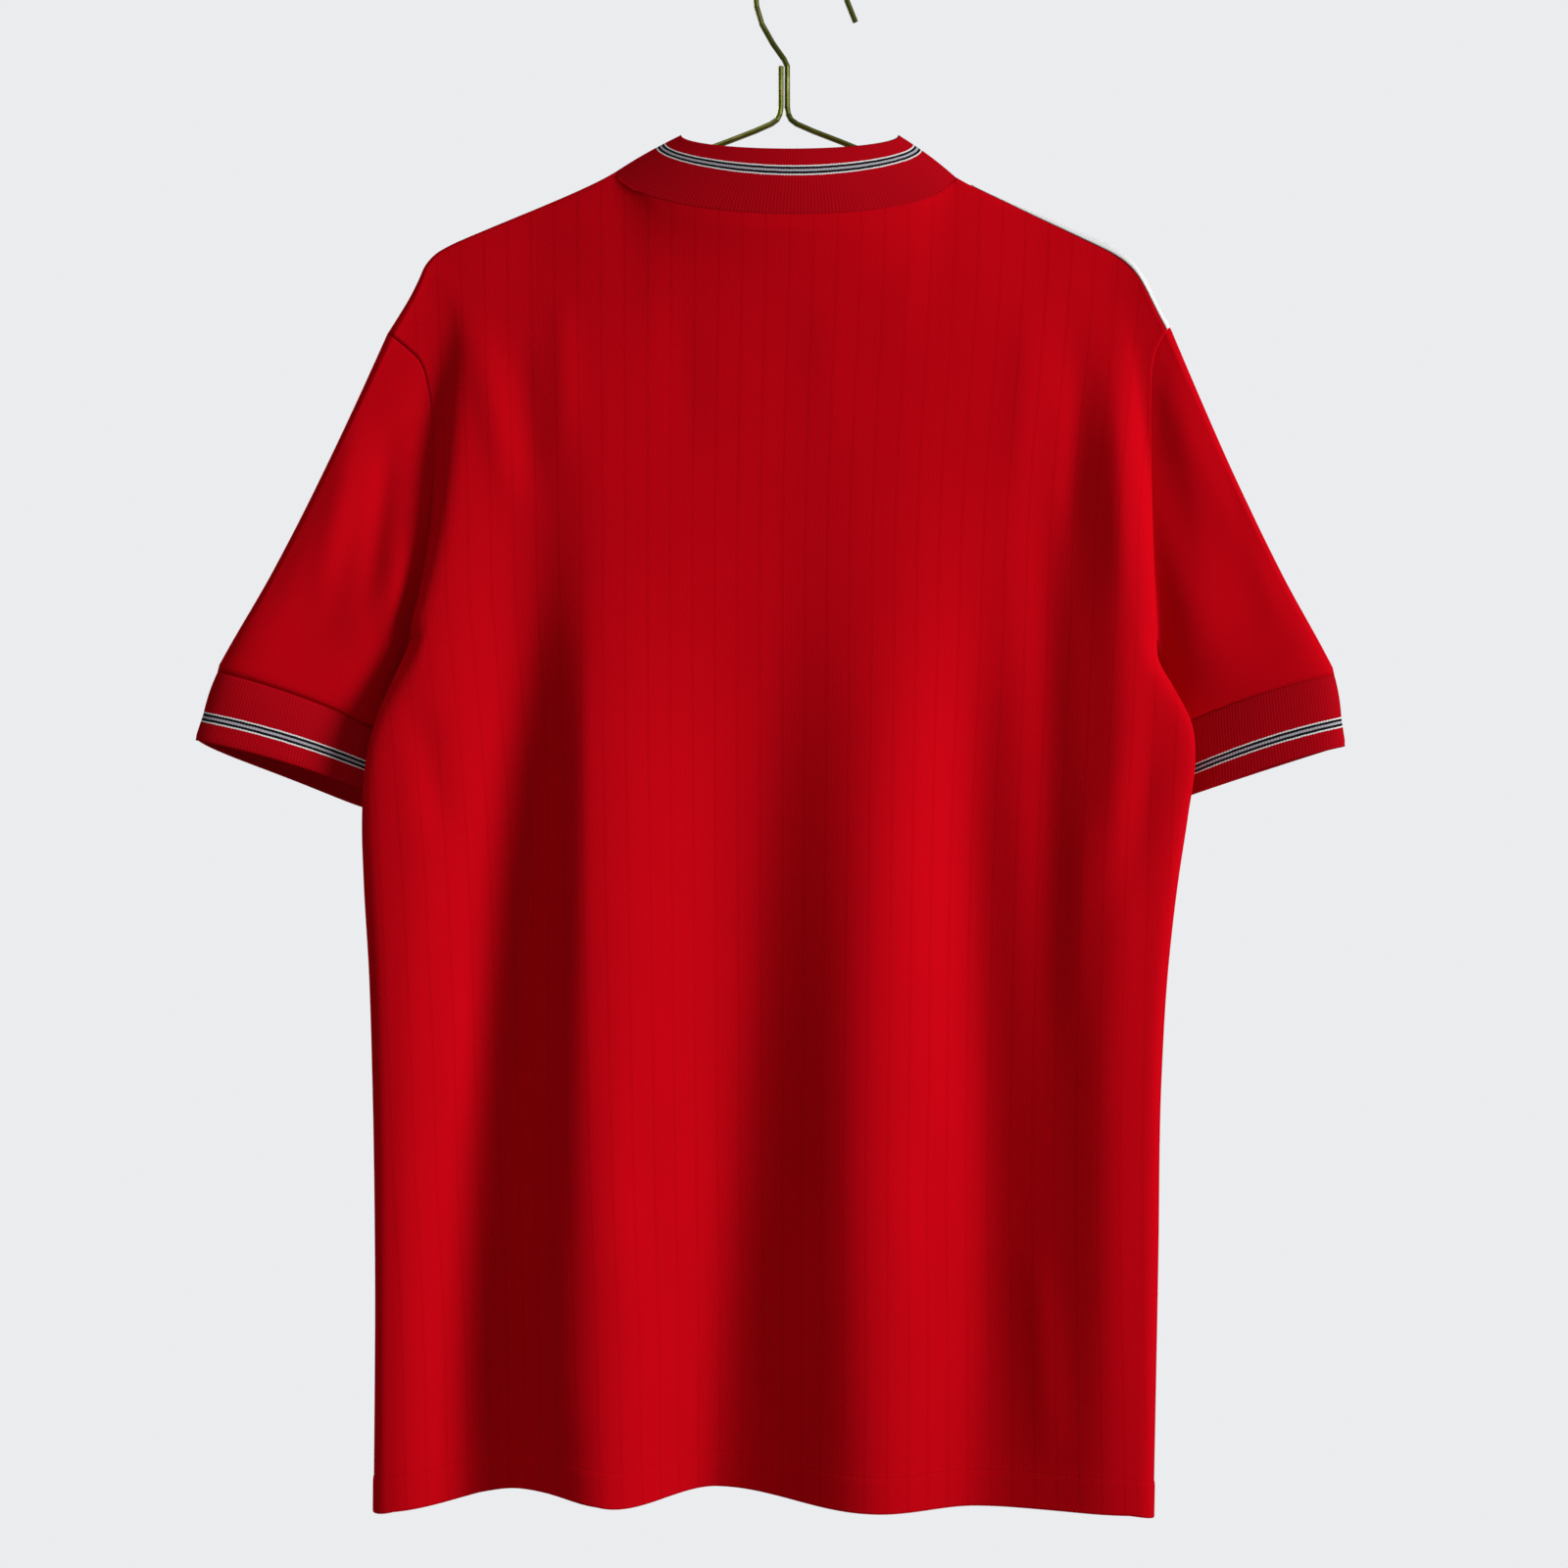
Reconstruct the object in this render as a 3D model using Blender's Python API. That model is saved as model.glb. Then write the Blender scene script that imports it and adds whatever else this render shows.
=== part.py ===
"""A short-sleeved football jersey hanging on a wire hanger.

The origin is the inner top of the hanger's hook, where a rail carries it. +Z is up, +Y is the
jersey's back and +X is the wearer's left. Sizes are in millimetres. A point is worked out as
(x, y, drop): x from the collar's middle, y towards the back, and drop below the origin. It
becomes metres, with z = -drop, when a piece is made.

Each cloth piece is a grid of outer points, moved in along its normals to give the wall.
Neighbouring pieces share the points and normals of their seam and stand SEAM_GAP apart there.
"""

import math
from collections import namedtuple

import bmesh
import bpy
import numpy as np

# Walls, gaps at seams, and where the collar's middle lies
CLOTH = 1.5
HEM = 2.4
RIB = 2.0
SEAM_GAP = 0.4
NECK_POINT_GAP = 0.8
MIDDLE_X = 8.6

# The grid of a panel, in columns from the left edge to the right one and rows from the top down
EDGE_COLUMNS = 4
NECK_LEFT = 10
NECK_RIGHT = 22
COLUMNS = 32
RIDGE_ROWS = 4
ARM_ROWS = 11
UNDERARM_ROW = 15
ROWS = 28
HEM_ROWS = 1.5
ROW_SPREAD = 1.35

# The ridge where the cloth lies over the hanger's arms, and how far it takes to hang free
RIDGE_DROP = 3.3
RIDGE_HALF = 3.6
HANG_FREE = 120.0
ARMHOLE_HALF = 8.0
ARMHOLE_ROUND = 6.0
NECK_ROUND = 8.0
NECK_HALF_OPEN = 5.0
NECK_COLUMNS = 3

# Outer points of each shoulder, from the neck over the hanger's end to the armhole: x, drop
SHOULDERS = {
    "left": (
        (95.5, 127.8), (104.0, 132.9), (113.0, 137.2), (119.0, 139.8), (170.0, 161.1),
        (180.0, 165.3), (189.0, 169.4), (197.6, 174.6), (203.2, 181.0), (206.8, 189.0),
        (211.2, 198.0), (217.4, 208.5), (224.5, 219.7),
    ),
    "right": (
        (-97.1, 130.6), (-106.0, 135.9), (-115.0, 140.2), (-121.0, 142.8), (-168.0, 162.9),
        (-178.0, 167.2), (-187.4, 171.6), (-195.6, 177.6), (-201.4, 184.6), (-206.0, 193.0),
        (-210.2, 201.5), (-214.8, 210.0), (-219.2, 217.4),
    ),
}
HANGER_END_DISTANCE = 56.0

# The armhole seam, from the shoulder's end to the underarm: x, drop
ARMHOLES = {
    "left": (
        (224.5, 219.7), (219.6, 223.4), (213.6, 228.2), (205.9, 235.6), (200.6, 252.4),
        (198.6, 290.0), (200.6, 335.0), (204.0, 362.0), (206.4, 380.0), (207.4, 393.0),
    ),
    "right": (
        (-219.2, 217.4), (-215.0, 221.4), (-211.4, 227.0), (-208.6, 236.0), (-207.4, 256.0),
        (-207.6, 290.0), (-208.6, 330.0), (-209.8, 365.0), (-210.9, 393.0),
    ),
}

# The side seams from the underarm to the hem: drop, left x, right x, y
Side = namedtuple("Side", "drop left right y")
SIDES = (
    Side(393, 207.4, -210.9, 0.0),
    Side(404, 208.8, -211.6, 6.0),
    Side(420, 218.0, -219.6, 10.0),
    Side(440, 229.4, -229.0, 12.0),
    Side(462, 234.8, -230.9, 12.0),
    Side(490, 237.0, -227.4, 9.0),
    Side(530, 236.4, -221.6, 4.0),
    Side(580, 233.6, -216.0, 0.0),
    Side(640, 231.6, -212.2, 0.0),
    Side(740, 230.0, -210.2, 0.0),
    Side(885, 230.8, -207.0, 0.0),
)

# Each row is one fold line down a panel: its grid column at the underarm and below, and its x
# and its depth from the middle plane at each of the heights in FOLD_DROPS.
Fold = namedtuple("Fold", "column x depth")
FOLD_DROPS = (252, 341, 474, 696, 880)
BACK_FOLDS = (
    Fold(4, (186, 192, 211, 214, 217), (15, 17, 22, 27, 31)),
    Fold(7, (142, 142, 153, 171, 153), (14, 11, 9, 7, 6)),
    Fold(10, (106, 106, 108, 106, 103), (18, 20, 29, 38, 43)),
    Fold(16, (6, 6, 17, 25, 36), (18, 17, 15, 10, 7)),
    Fold(20, (-56, -56, -50, -44, -47), (19, 20, 30, 40, 45)),
    Fold(24, (-150, -139, -114, -117, -108), (15, 12, 13, 15, 22)),
    Fold(28, (-193, -193, -200, -194, -191), (15, 17, 22, 30, 37)),
)
FRONT_FOLDS = (
    Fold(4, (184, 174, 184, 203, 208), (14, 13, 15, 26, 31)),
    Fold(7, (138, 132, 126, 128, 134), (13, 12, 10, 8, 7)),
    Fold(10, (78, 76, 70, 62, 60), (17, 19, 25, 34, 40)),
    Fold(16, (10, 8, 3, -8, -14), (16, 14, 12, 9, 7)),
    Fold(20, (-60, -62, -70, -74, -77), (17, 19, 24, 32, 36)),
    Fold(24, (-130, -128, -130, -138, -143), (13, 11, 10, 9, 10)),
    Fold(28, (-184, -172, -178, -189, -187), (14, 13, 15, 27, 32)),
)

# The hem: drop at each side seam and at the shallow folds, and how much lower a crest hangs
HEM_LEFT = 883.5
HEM_RIGHT = 888.0
HEM_MIDDLE = 872.5
HEM_PER_DEPTH = 0.11
HEM_BAND = 20.0

# The neckline loop, and the collar's top edge, as half ellipses at the back and at the front
NECK_LEFT_X = 95.5
NECK_RIGHT_X = -97.1
NECK_LEFT_DROP = 127.8
NECK_RIGHT_DROP = 130.6
BACK_NECK_DROP = 156.5
BACK_NECK_Y = 28.0
FRONT_NECK_DROP = 236.0
FRONT_NECK_Y = 27.0
COLLAR_LEFT_X = 58.3
COLLAR_RIGHT_X = -64.9
COLLAR_SIDE_DROP = 106.8
BACK_COLLAR_DROP = 119.1
BACK_COLLAR_Y = 24.0
FRONT_COLLAR_DROP = 199.0
FRONT_COLLAR_Y = 23.0
NECK_DEGREES = (0, 5, 18, 35, 53, 71, 90, 109, 127, 145, 162, 175, 180)
NECK_SQUARE = 0.7
NECK_SCOOP = 1.15
COLLAR_BOW = 1.5
COLLAR_ROWS = 5

# The two rings of each cuff: the outer and inner ends of its flattened oval, the oval's half
# depth, and how far the front half of the ring hangs below the back half
Ring = namedtuple("Ring", "outer_x outer_drop outer_y inner_x inner_drop inner_y half_depth front_drop")
CUFF_RINGS = {
    "left": (
        Ring(320.8, 411.1, -3.0, 222.0, 447.8, -20.0, 19.0, 3.0),
        Ring(333.6, 449.4, -3.0, 223.1, 484.4, -23.0, 21.0, 12.0),
    ),
    "right": (
        Ring(-311.6, 412.6, -3.0, -217.6, 443.9, -20.0, 19.0, 3.0),
        Ring(-318.0, 453.0, -3.0, -218.7, 486.6, -23.0, 21.0, 12.0),
    ),
}
RING_TURN = 24.0
OVAL_SQUARE = 0.85
LIP_OUTER = 0.4
SLEEVE_ROWS = 9
CUFF_ROWS = 3

# How a sleeve bows between its seams: its outer fold sags in, its faces puff out, and its inner
# fold tucks in front of the body and stays clear of it. The early ones peak near the armhole.
SLEEVE_SAG = 3.5
SLEEVE_PUFF = 5.0
SLEEVE_TUCK = 7.0
SLEEVE_CLEAR = 5.0
EARLY_PUFF = 0.7
EARLY_CLEAR = 0.6
UNDERARM_LEAN = 0.4

# Folds down each sleeve: where round the half ring, and how deep (a trough is negative)
SleeveFold = namedtuple("SleeveFold", "around width depth")
SLEEVE_FOLDS = (
    SleeveFold(0.34, 0.16, -3.5),
    SleeveFold(0.62, 0.16, 3.0),
)

# The white tape along each shoulder: its width, and where its back edge runs from the ridge's
# top (towards the back is positive) at the neck and at the armhole
TAPE_WIDTH = 6.0
TAPE_THICK = 0.6
TAPE_STRIPS = 4
TAPE_END_COLUMNS = (0.12, 9.4)
TAPE_EDGES = {"left": (-3.0, -1.5), "right": (1.5, 8.5)}

# The hanger: one wire, bent from the hook's tip round to the short end beside the neck. x and
# drop are of its centre line. Each arm leaves the neck's foot through a soft bend.
WIRE = 1.6
WIRE_BELOW_RIDGE = 3.5
HOOK_RADIUS = 25.0
HOOK_STEP = 12
HOOK_TIP = ((-40.4, 42.9), (-35.5, 30.6))
HOOK_SHANK = ((15.6, 34.0), (12.6, 44.0), (6.4, 55.0), (0.0, 64.0))
NECK_TOP_DROP = 68.0
NECK_FOOT_DROP = 91.0
NECK_HALF = 1.8
ARM_BEND = ((2.4, 95.0), (4.0, 98.2), (7.2, 100.6), (16.5, 104.7), (31.0, 110.3))
ARM_ENDS = {"left": 179.0, "right": 177.0}
ARM_END_RADIUS = 20.0
ARM_END_STEPS = 8

COLOURS = {
    "cloth_red": ((0.42, 0.004, 0.008), 0.78, 0.0),
    "rib_red": ((0.30, 0.004, 0.007), 0.85, 0.0),
    "tape_white": ((0.80, 0.80, 0.79), 0.70, 0.0),
    "wire_gilt": ((0.24, 0.22, 0.09), 0.32, 0.85),
}


def clear_scene():
    for thing in list(bpy.data.objects):
        bpy.data.objects.remove(thing, do_unlink=True)


def finish_of(name):
    """The piece's own material, a Principled BSDF."""
    colour, roughness, metallic = COLOURS[name]
    material = bpy.data.materials.get(name) or bpy.data.materials.new(name)
    material.use_nodes = True
    shader = material.node_tree.nodes["Principled BSDF"]
    shader.inputs["Base Color"].default_value = (*colour, 1.0)
    shader.inputs["Roughness"].default_value = roughness
    shader.inputs["Metallic"].default_value = metallic
    return material


def in_metres(points):
    """Points in metres, from (x, y, drop) in millimetres."""
    points = np.asarray(points, float)
    placed = np.stack([points[..., 0] + MIDDLE_X, points[..., 1], -points[..., 2]], axis=-1)
    return placed / 1000.0


def unit(vectors):
    return vectors / np.linalg.norm(vectors, axis=-1, keepdims=True)


def smooth_curve(at, known, values):
    """A smooth curve through values given at known places, read at the places in at."""
    known = np.asarray(known, float)
    values = np.asarray(values, float)
    if values.ndim == 1:
        return smooth_curve(at, known, values[:, None])[..., 0]
    at = np.clip(np.asarray(at, float), known[0], known[-1])
    slopes = np.gradient(values, known, axis=0)
    start = np.clip(np.searchsorted(known, at, side="right") - 1, 0, len(known) - 2)
    span = (known[start + 1] - known[start])[..., None]
    t = (at - known[start])[..., None] / span
    rise = values[start + 1] - values[start]
    bend_in = slopes[start] * span - rise
    bend_out = rise - slopes[start + 1] * span
    return values[start] + rise * t + t * (1 - t) * (bend_in * (1 - t) + bend_out * t)


def along_line(points, distances):
    """Points at given distances along a smooth line."""
    points = np.asarray(points, float)
    steps = np.linalg.norm(np.diff(points, axis=0), axis=1)
    known = np.concatenate([[0.0], np.cumsum(steps)])
    return smooth_curve(np.asarray(distances, float), known, points)


def line_length(points):
    return float(np.linalg.norm(np.diff(np.asarray(points, float), axis=0), axis=1).sum())


def ease(t):
    """From 0 to 1, quick at first and level at the end."""
    return 1 - (1 - np.clip(t, 0, 1)) ** 2


def fade(t):
    """From 0 to 1, level at both ends."""
    t = np.clip(t, 0, 1)
    return t * t * (3 - 2 * t)


def quarter(steps, count):
    """The angle of a quarter round, after some of its count of steps."""
    return np.clip(steps, 0, count) / count * math.pi / 2


def side_edges(drop):
    """Left x, right x and y of the side seams at a height."""
    table = np.array([(s.left, s.right, s.y) for s in SIDES])
    return smooth_curve(drop, [s.drop for s in SIDES], table)


def fold_lines(folds, drop):
    """x and depth of each fold line at a height."""
    x = smooth_curve(drop, FOLD_DROPS, np.array([f.x for f in folds]).T)
    depth = smooth_curve(drop, FOLD_DROPS, np.array([f.depth for f in folds]).T)
    return x, depth


def fold_depth(folds, x, drop):
    """Depth of a panel at (x, drop): a cosine from each fold line to the next."""
    lines, depths = fold_lines(folds, drop)
    depth = depths[..., 0].copy()
    for i in range(len(folds) - 1):
        t = (lines[..., i] - x) / (lines[..., i] - lines[..., i + 1])
        step = (depths[..., i + 1] - depths[..., i]) * (1 - np.cos(np.pi * np.clip(t, 0, 1))) / 2
        depth += step
    return depth


def across_body(folds, u, drop):
    """x of the columns u at heights below the underarm: even steps between fold lines."""
    edges = side_edges(drop)
    lines, _ = fold_lines(folds, drop)
    left = edges[..., 0] - (edges[..., 0] - lines[..., 0]) * (1 - np.cos(quarter(u, EDGE_COLUMNS)))
    right = edges[..., 1] - (edges[..., 1] - lines[..., -1]) * (
        1 - np.cos(quarter(COLUMNS - u, EDGE_COLUMNS))
    )
    x = np.where(u < COLUMNS / 2, left, right)
    for i in range(len(folds) - 1):
        first, last = folds[i].column, folds[i + 1].column
        t = (u - first) / (last - first)
        between = lines[..., i] + (lines[..., i + 1] - lines[..., i]) * t
        x = np.where((t >= 0) & (t <= 1), between, x)
    return x


def neck_angle(u):
    return np.radians(np.interp(u, range(NECK_LEFT, NECK_RIGHT + 1), NECK_DEGREES))


def oval(left, right, angle):
    """From left to right round half an oval."""
    return (left + right) / 2 + (left - right) / 2 * np.cos(angle)


def neck_loop(x, level, y, drop, angle, back):
    """Half a loop round the neck: over the shoulder at each end, and y and drop at its middle."""
    rise = np.sin(angle).clip(0)
    depth = y * rise**NECK_SQUARE
    if back:
        return np.stack([x, depth, level + drop * rise], -1)
    return np.stack([x, -depth, level + drop * rise**NECK_SCOOP], -1)


def neckline(angle, back):
    """The neckline seam at an angle from the left neck point (0) to the right one (pi)."""
    x = oval(NECK_LEFT_X, NECK_RIGHT_X, angle)
    level = oval(NECK_LEFT_DROP, NECK_RIGHT_DROP, angle)
    middle = (NECK_LEFT_DROP + NECK_RIGHT_DROP) / 2
    y = BACK_NECK_Y if back else FRONT_NECK_Y
    drop = (BACK_NECK_DROP if back else FRONT_NECK_DROP) - middle
    return neck_loop(x, level, y, drop, angle, back)


def collar_top(angle, back):
    """The collar's top edge at the same angles."""
    x = oval(COLLAR_LEFT_X, COLLAR_RIGHT_X, angle)
    y = BACK_COLLAR_Y if back else FRONT_COLLAR_Y
    drop = (BACK_COLLAR_DROP if back else FRONT_COLLAR_DROP) - COLLAR_SIDE_DROP
    return neck_loop(x, COLLAR_SIDE_DROP, y, drop, angle, back)


def shoulder(side, columns_in):
    """x and drop on a shoulder's ridge, some columns in from the armhole."""
    line = SHOULDERS[side][::-1]
    whole = line_length(line)
    distance = np.interp(columns_in, (0, EDGE_COLUMNS, NECK_LEFT), (0, HANGER_END_DISTANCE, whole))
    return along_line(line, distance)


def top_edge(u, back):
    """The panel's top edge, along one shoulder, the neckline and the other shoulder."""
    points = neckline(neck_angle(u), back)
    for side, columns_in in (("left", u), ("right", COLUMNS - u)):
        flat = shoulder(side, np.minimum(columns_in, NECK_LEFT))
        on_it = columns_in <= NECK_LEFT
        points[..., 0] = np.where(on_it, flat[..., 0], points[..., 0])
        points[..., 1] = np.where(on_it, 0, points[..., 1])
        points[..., 2] = np.where(on_it, flat[..., 1], points[..., 2])
    return points


def inward(u, back):
    """The way into the panel from its top edge: square to a shoulder, and down from the neck."""
    step = 0.4
    here = top_edge(u, back)
    ahead = top_edge(np.minimum(u + step, COLUMNS), back) - here
    behind = here - top_edge(np.maximum(u - step, 0), back)
    ahead = np.where((u < COLUMNS)[..., None], ahead, behind)[..., (0, 2)]
    behind = np.where((u > 0)[..., None], behind[..., (0, 2)], ahead)
    run = unit(unit(ahead) + unit(behind))
    square = np.stack([run[..., 1], -run[..., 0]], -1)
    past_neck_point = fade(np.minimum(u, COLUMNS - u) - NECK_LEFT)[..., None]
    return square * (1 - past_neck_point) + np.array([0.0, 1.0]) * past_neck_point


def armhole(side, v):
    """x, y and drop of the armhole seam's back half, at grid row v."""
    line = ARMHOLES[side]
    whole = line_length(line)
    top, foot = quarter(v, RIDGE_ROWS), quarter(UNDERARM_ROW - v, UNDERARM_ROW - ARM_ROWS)
    middle = np.clip((v - RIDGE_ROWS) / (ARM_ROWS - RIDGE_ROWS), 0, 1)
    distance = ARMHOLE_ROUND * (1 - np.cos(top)) + middle * (whole - ARMHOLE_ROUND - ARMHOLE_HALF)
    distance = np.where(v > ARM_ROWS, whole - ARMHOLE_HALF * (1 - np.cos(foot)), distance)
    y = ARMHOLE_HALF * np.where(v > ARM_ROWS, np.sin(foot), np.sin(top))
    flat = along_line(line, distance)
    return np.stack([flat[..., 0], y, flat[..., 1]], -1)


def yoke(folds, u, v, back):
    """The panel from its top edge down to the underarm: a patch between its four edges."""
    top = top_edge(u, back)
    from_side = np.minimum(u, COLUMNS - u)
    on_neck = fade(from_side - NECK_LEFT)
    past_hanger = np.clip(1 - from_side / EDGE_COLUMNS, 0, 1)
    by_neck = fade((from_side - NECK_LEFT) / NECK_COLUMNS + 1)
    half = RIDGE_HALF + (ARMHOLE_HALF - RIDGE_HALF) * past_hanger
    half = (half + (NECK_HALF_OPEN - RIDGE_HALF) * by_neck) * (1 - on_neck)
    round_drop = RIDGE_DROP + (ARMHOLE_ROUND - RIDGE_DROP) * past_hanger
    round_drop = round_drop + (NECK_ROUND - round_drop) * on_neck
    turn = quarter(v, RIDGE_ROWS)
    flat_top = top[..., (0, 2)] + inward(u, back) * (round_drop * (1 - np.cos(turn)))[..., None]
    foot_drop = np.full(np.shape(u), float(SIDES[0].drop))
    foot = np.stack([across_body(folds, u, foot_drop), foot_drop], -1)
    down = np.clip((v - RIDGE_ROWS) / (UNDERARM_ROW - RIDGE_ROWS), 0, 1)[..., None]
    flat = flat_top * (1 - down) + foot * down
    edge_y = np.zeros(np.shape(u))
    for side, columns_in in (("left", u), ("right", COLUMNS - u)):
        seam = armhole(side, v)
        edge_column = 0 if side == "left" else COLUMNS
        plain = flat[:, edge_column : edge_column + 1]
        pull = 1 - fade((columns_in - EDGE_COLUMNS) / (NECK_LEFT - 1 - EDGE_COLUMNS))
        flat = flat + (seam[..., (0, 2)] - plain) * pull[..., None]
        edge_y = np.where(columns_in < COLUMNS / 2, seam[..., 1], edge_y)
    down_from_top = np.linalg.norm(flat - top[..., (0, 2)], axis=-1)
    hung = fold_depth(folds, flat[..., 0], flat[..., 1])
    start = np.abs(top[..., 1]) + half
    y = np.abs(top[..., 1]) + half * np.sin(turn)
    y = y + (hung - start) * ease((down_from_top - round_drop) / HANG_FREE)
    for edge_column, inner_column in ((0, EDGE_COLUMNS), (COLUMNS, COLUMNS - EDGE_COLUMNS)):
        start_point = flat[:, edge_column : edge_column + 1]
        reach = np.linalg.norm(flat[:, inner_column : inner_column + 1] - start_point, axis=-1)
        t = np.clip(np.linalg.norm(flat - start_point, axis=-1) / reach, 0, 1)
        near = np.abs(u - edge_column) < EDGE_COLUMNS
        y = np.where(near, edge_y + (y - edge_y) * np.sqrt(1 - (1 - t) ** 2), y)
    return np.stack([flat[..., 0], y, flat[..., 1]], -1)


def hem_drop(folds, u):
    """The hem's height: level, lower at a crest and lowest at the side seams."""
    level = np.full(np.shape(u), float(FOLD_DROPS[-1]))
    depth = fold_depth(folds, across_body(folds, u, level), level)
    middle = HEM_MIDDLE + HEM_PER_DEPTH * (depth - depth.min())
    side = np.where(u < COLUMNS / 2, HEM_LEFT, HEM_RIGHT)
    return side + (middle - side) * fade(np.minimum(u, COLUMNS - u) / EDGE_COLUMNS)


def skirt(folds, u, v, back):
    """The panel from the underarm to the hem."""
    top = float(SIDES[0].drop)
    foot = hem_drop(folds, u)
    band_row = ROWS - HEM_ROWS
    to_band = np.clip((v - UNDERARM_ROW) / (band_row - UNDERARM_ROW), 0, 1)
    in_band = np.clip((v - band_row) / (ROWS - band_row), 0, 1)
    drop = top + (foot - HEM_BAND - top) * to_band**ROW_SPREAD + HEM_BAND * in_band
    x = across_body(folds, u, drop)
    depth = fold_depth(folds, x, drop)
    edges = side_edges(drop)
    seam_y = edges[..., 2] if back else -edges[..., 2]
    turn = np.sin(quarter(np.minimum(u, COLUMNS - u), EDGE_COLUMNS))
    return np.stack([x, seam_y + (depth - seam_y) * turn, drop], -1)


def panel_grid(folds, back, u, v):
    """Outer points of a panel at columns u and rows v, with y as distance from the middle."""
    columns, rows = np.meshgrid(np.asarray(u, float), np.asarray(v, float))
    upper = yoke(folds, columns, np.minimum(rows, UNDERARM_ROW), back)
    lower = skirt(folds, columns, np.maximum(rows, UNDERARM_ROW), back)
    points = np.where((rows < UNDERARM_ROW)[..., None], upper, lower)
    if not back:
        points[..., 1] *= -1
    return points


def ring_angle(v):
    """The angle round half a sleeve's ring for the armhole's row v, from outer to inner fold."""
    turns = np.radians((0, RING_TURN, 180 - RING_TURN, 180))
    return np.interp(v, (0, RIDGE_ROWS, ARM_ROWS, UNDERARM_ROW), turns)


def cuff_ring(ring, angle):
    """A flattened oval from the outer fold over the back (0 to pi) and the front (pi to 2 pi)."""
    outer = np.array([ring.outer_x, ring.outer_y, ring.outer_drop])
    inner = np.array([ring.inner_x, ring.inner_y, ring.inner_drop])
    points = (outer + inner) / 2 + (outer - inner) / 2 * np.cos(angle)[..., None]
    rise = np.sign(np.sin(angle)) * np.abs(np.sin(angle)) ** OVAL_SQUARE
    points[..., 1] += ring.half_depth * rise
    inner_share = (1 - np.cos(angle)) / 2
    lip = LIP_OUTER + (1 - LIP_OUTER) * inner_share
    points[..., 2] += ring.front_drop * np.clip(-np.sin(angle), 0, 1) * lip
    return points


def full_ring(half_rows):
    """Rows round a whole ring: down the back half and up the front half, without repeats."""
    back = [(row, True) for row in half_rows]
    front = [(row, False) for row in half_rows[-2:0:-1]]
    return back + front


def armhole_ring(side, half_rows):
    points = []
    for row, is_back in full_ring(half_rows):
        x, y, drop = armhole(side, np.array(float(row)))
        points.append((x, y if is_back else -y, drop))
    return np.array(points)


def ring_angles(half_rows):
    angles = []
    for row, is_back in full_ring(half_rows):
        angle = float(ring_angle(row))
        angles.append(angle if is_back else 2 * math.pi - angle)
    return np.array(angles)


def sleeve_grid(side, half_rows, stations):
    """Rings of a sleeve from the armhole (0) to the cuff's seam (1)."""
    start = armhole_ring(side, half_rows)
    angles = ring_angles(half_rows)
    end = cuff_ring(CUFF_RINGS[side][0], angles)
    outward = 1 if side == "left" else -1
    around = np.where(angles <= math.pi, angles, 2 * math.pi - angles) / math.pi
    facing = np.sin(angles)
    inner_fold = around**4
    outer_fold = (1 - around) ** 2
    rings = []
    for s in stations:
        ring = start * (1 - s) + end * s
        bow = math.sin(math.pi * s)
        swell = SLEEVE_PUFF * math.sin(math.pi * s**EARLY_PUFF)
        for fold in SLEEVE_FOLDS:
            swell = swell + fold.depth * bow * np.exp(-(((around - fold.around) / fold.width) ** 2))
        leave = math.sin(math.pi * s**EARLY_CLEAR) * (1 - s)
        ring[:, 1] += swell * facing - SLEEVE_TUCK * bow * inner_fold
        ring[:, 0] += outward * (SLEEVE_CLEAR * leave * inner_fold - SLEEVE_SAG * bow * outer_fold)
        rings.append(ring)
    return np.array(rings)


def cuff_grid(side, half_rows, stations):
    """Rings of a cuff from its seam (0) to its free edge (1)."""
    angles = ring_angles(half_rows)
    start, end = (cuff_ring(ring, angles) for ring in CUFF_RINGS[side])
    return np.array([start * (1 - s) + end * s for s in stations])


def ring_neck_angles(columns):
    """Angles round the whole neck: over the back and then over the front, without repeats."""
    angles = neck_angle(np.asarray(columns, float))
    return np.concatenate([angles, angles[-2:0:-1]])


def collar_grid(columns, stations):
    """Rings of the collar from the neckline (0) to its top edge (1), back half first."""
    angles = neck_angle(np.asarray(columns, float))
    base = np.concatenate([neckline(angles, True), neckline(angles[-2:0:-1], False)])
    top = np.concatenate([collar_top(angles, True), collar_top(angles[-2:0:-1], False)])
    middle = base.mean(axis=0)
    rings = []
    for s in stations:
        ring = base * (1 - s) + top * s
        away = ring - middle
        away[:, 2] = 0
        ring += unit(away) * COLLAR_BOW * math.sin(math.pi * s)
        rings.append(ring)
    return np.array(rings)


def steps_both_ways(points, axis, wraps):
    """The unit direction of a grid's lines at each point, the mean of the steps either side."""
    ahead = unit(np.roll(points, -1, axis) - points)
    behind = np.roll(ahead, 1, axis)
    if not wraps:
        ahead = np.moveaxis(ahead, axis, 0)
        behind = np.moveaxis(behind, axis, 0)
        ahead[-1] = behind[-1]
        behind[0] = ahead[0]
        ahead, behind = np.moveaxis(ahead, 0, axis), np.moveaxis(behind, 0, axis)
    return unit(ahead + behind)


def grid_normals(points, outward, wraps=False):
    """Normals of a grid; outward is 1 or -1, and wraps is for rings."""
    down = steps_both_ways(points, 0, False)
    across = steps_both_ways(points, 1, wraps)
    return outward * unit(np.cross(across, down))


def seam_plane_normals(line, outward):
    """Normals of a seam in the middle plane: square to the line and to y."""
    run = np.gradient(line, axis=0)
    run[:, 1] = 0
    return outward * unit(np.cross(run, np.array([0.0, 1.0, 0.0])))


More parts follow.
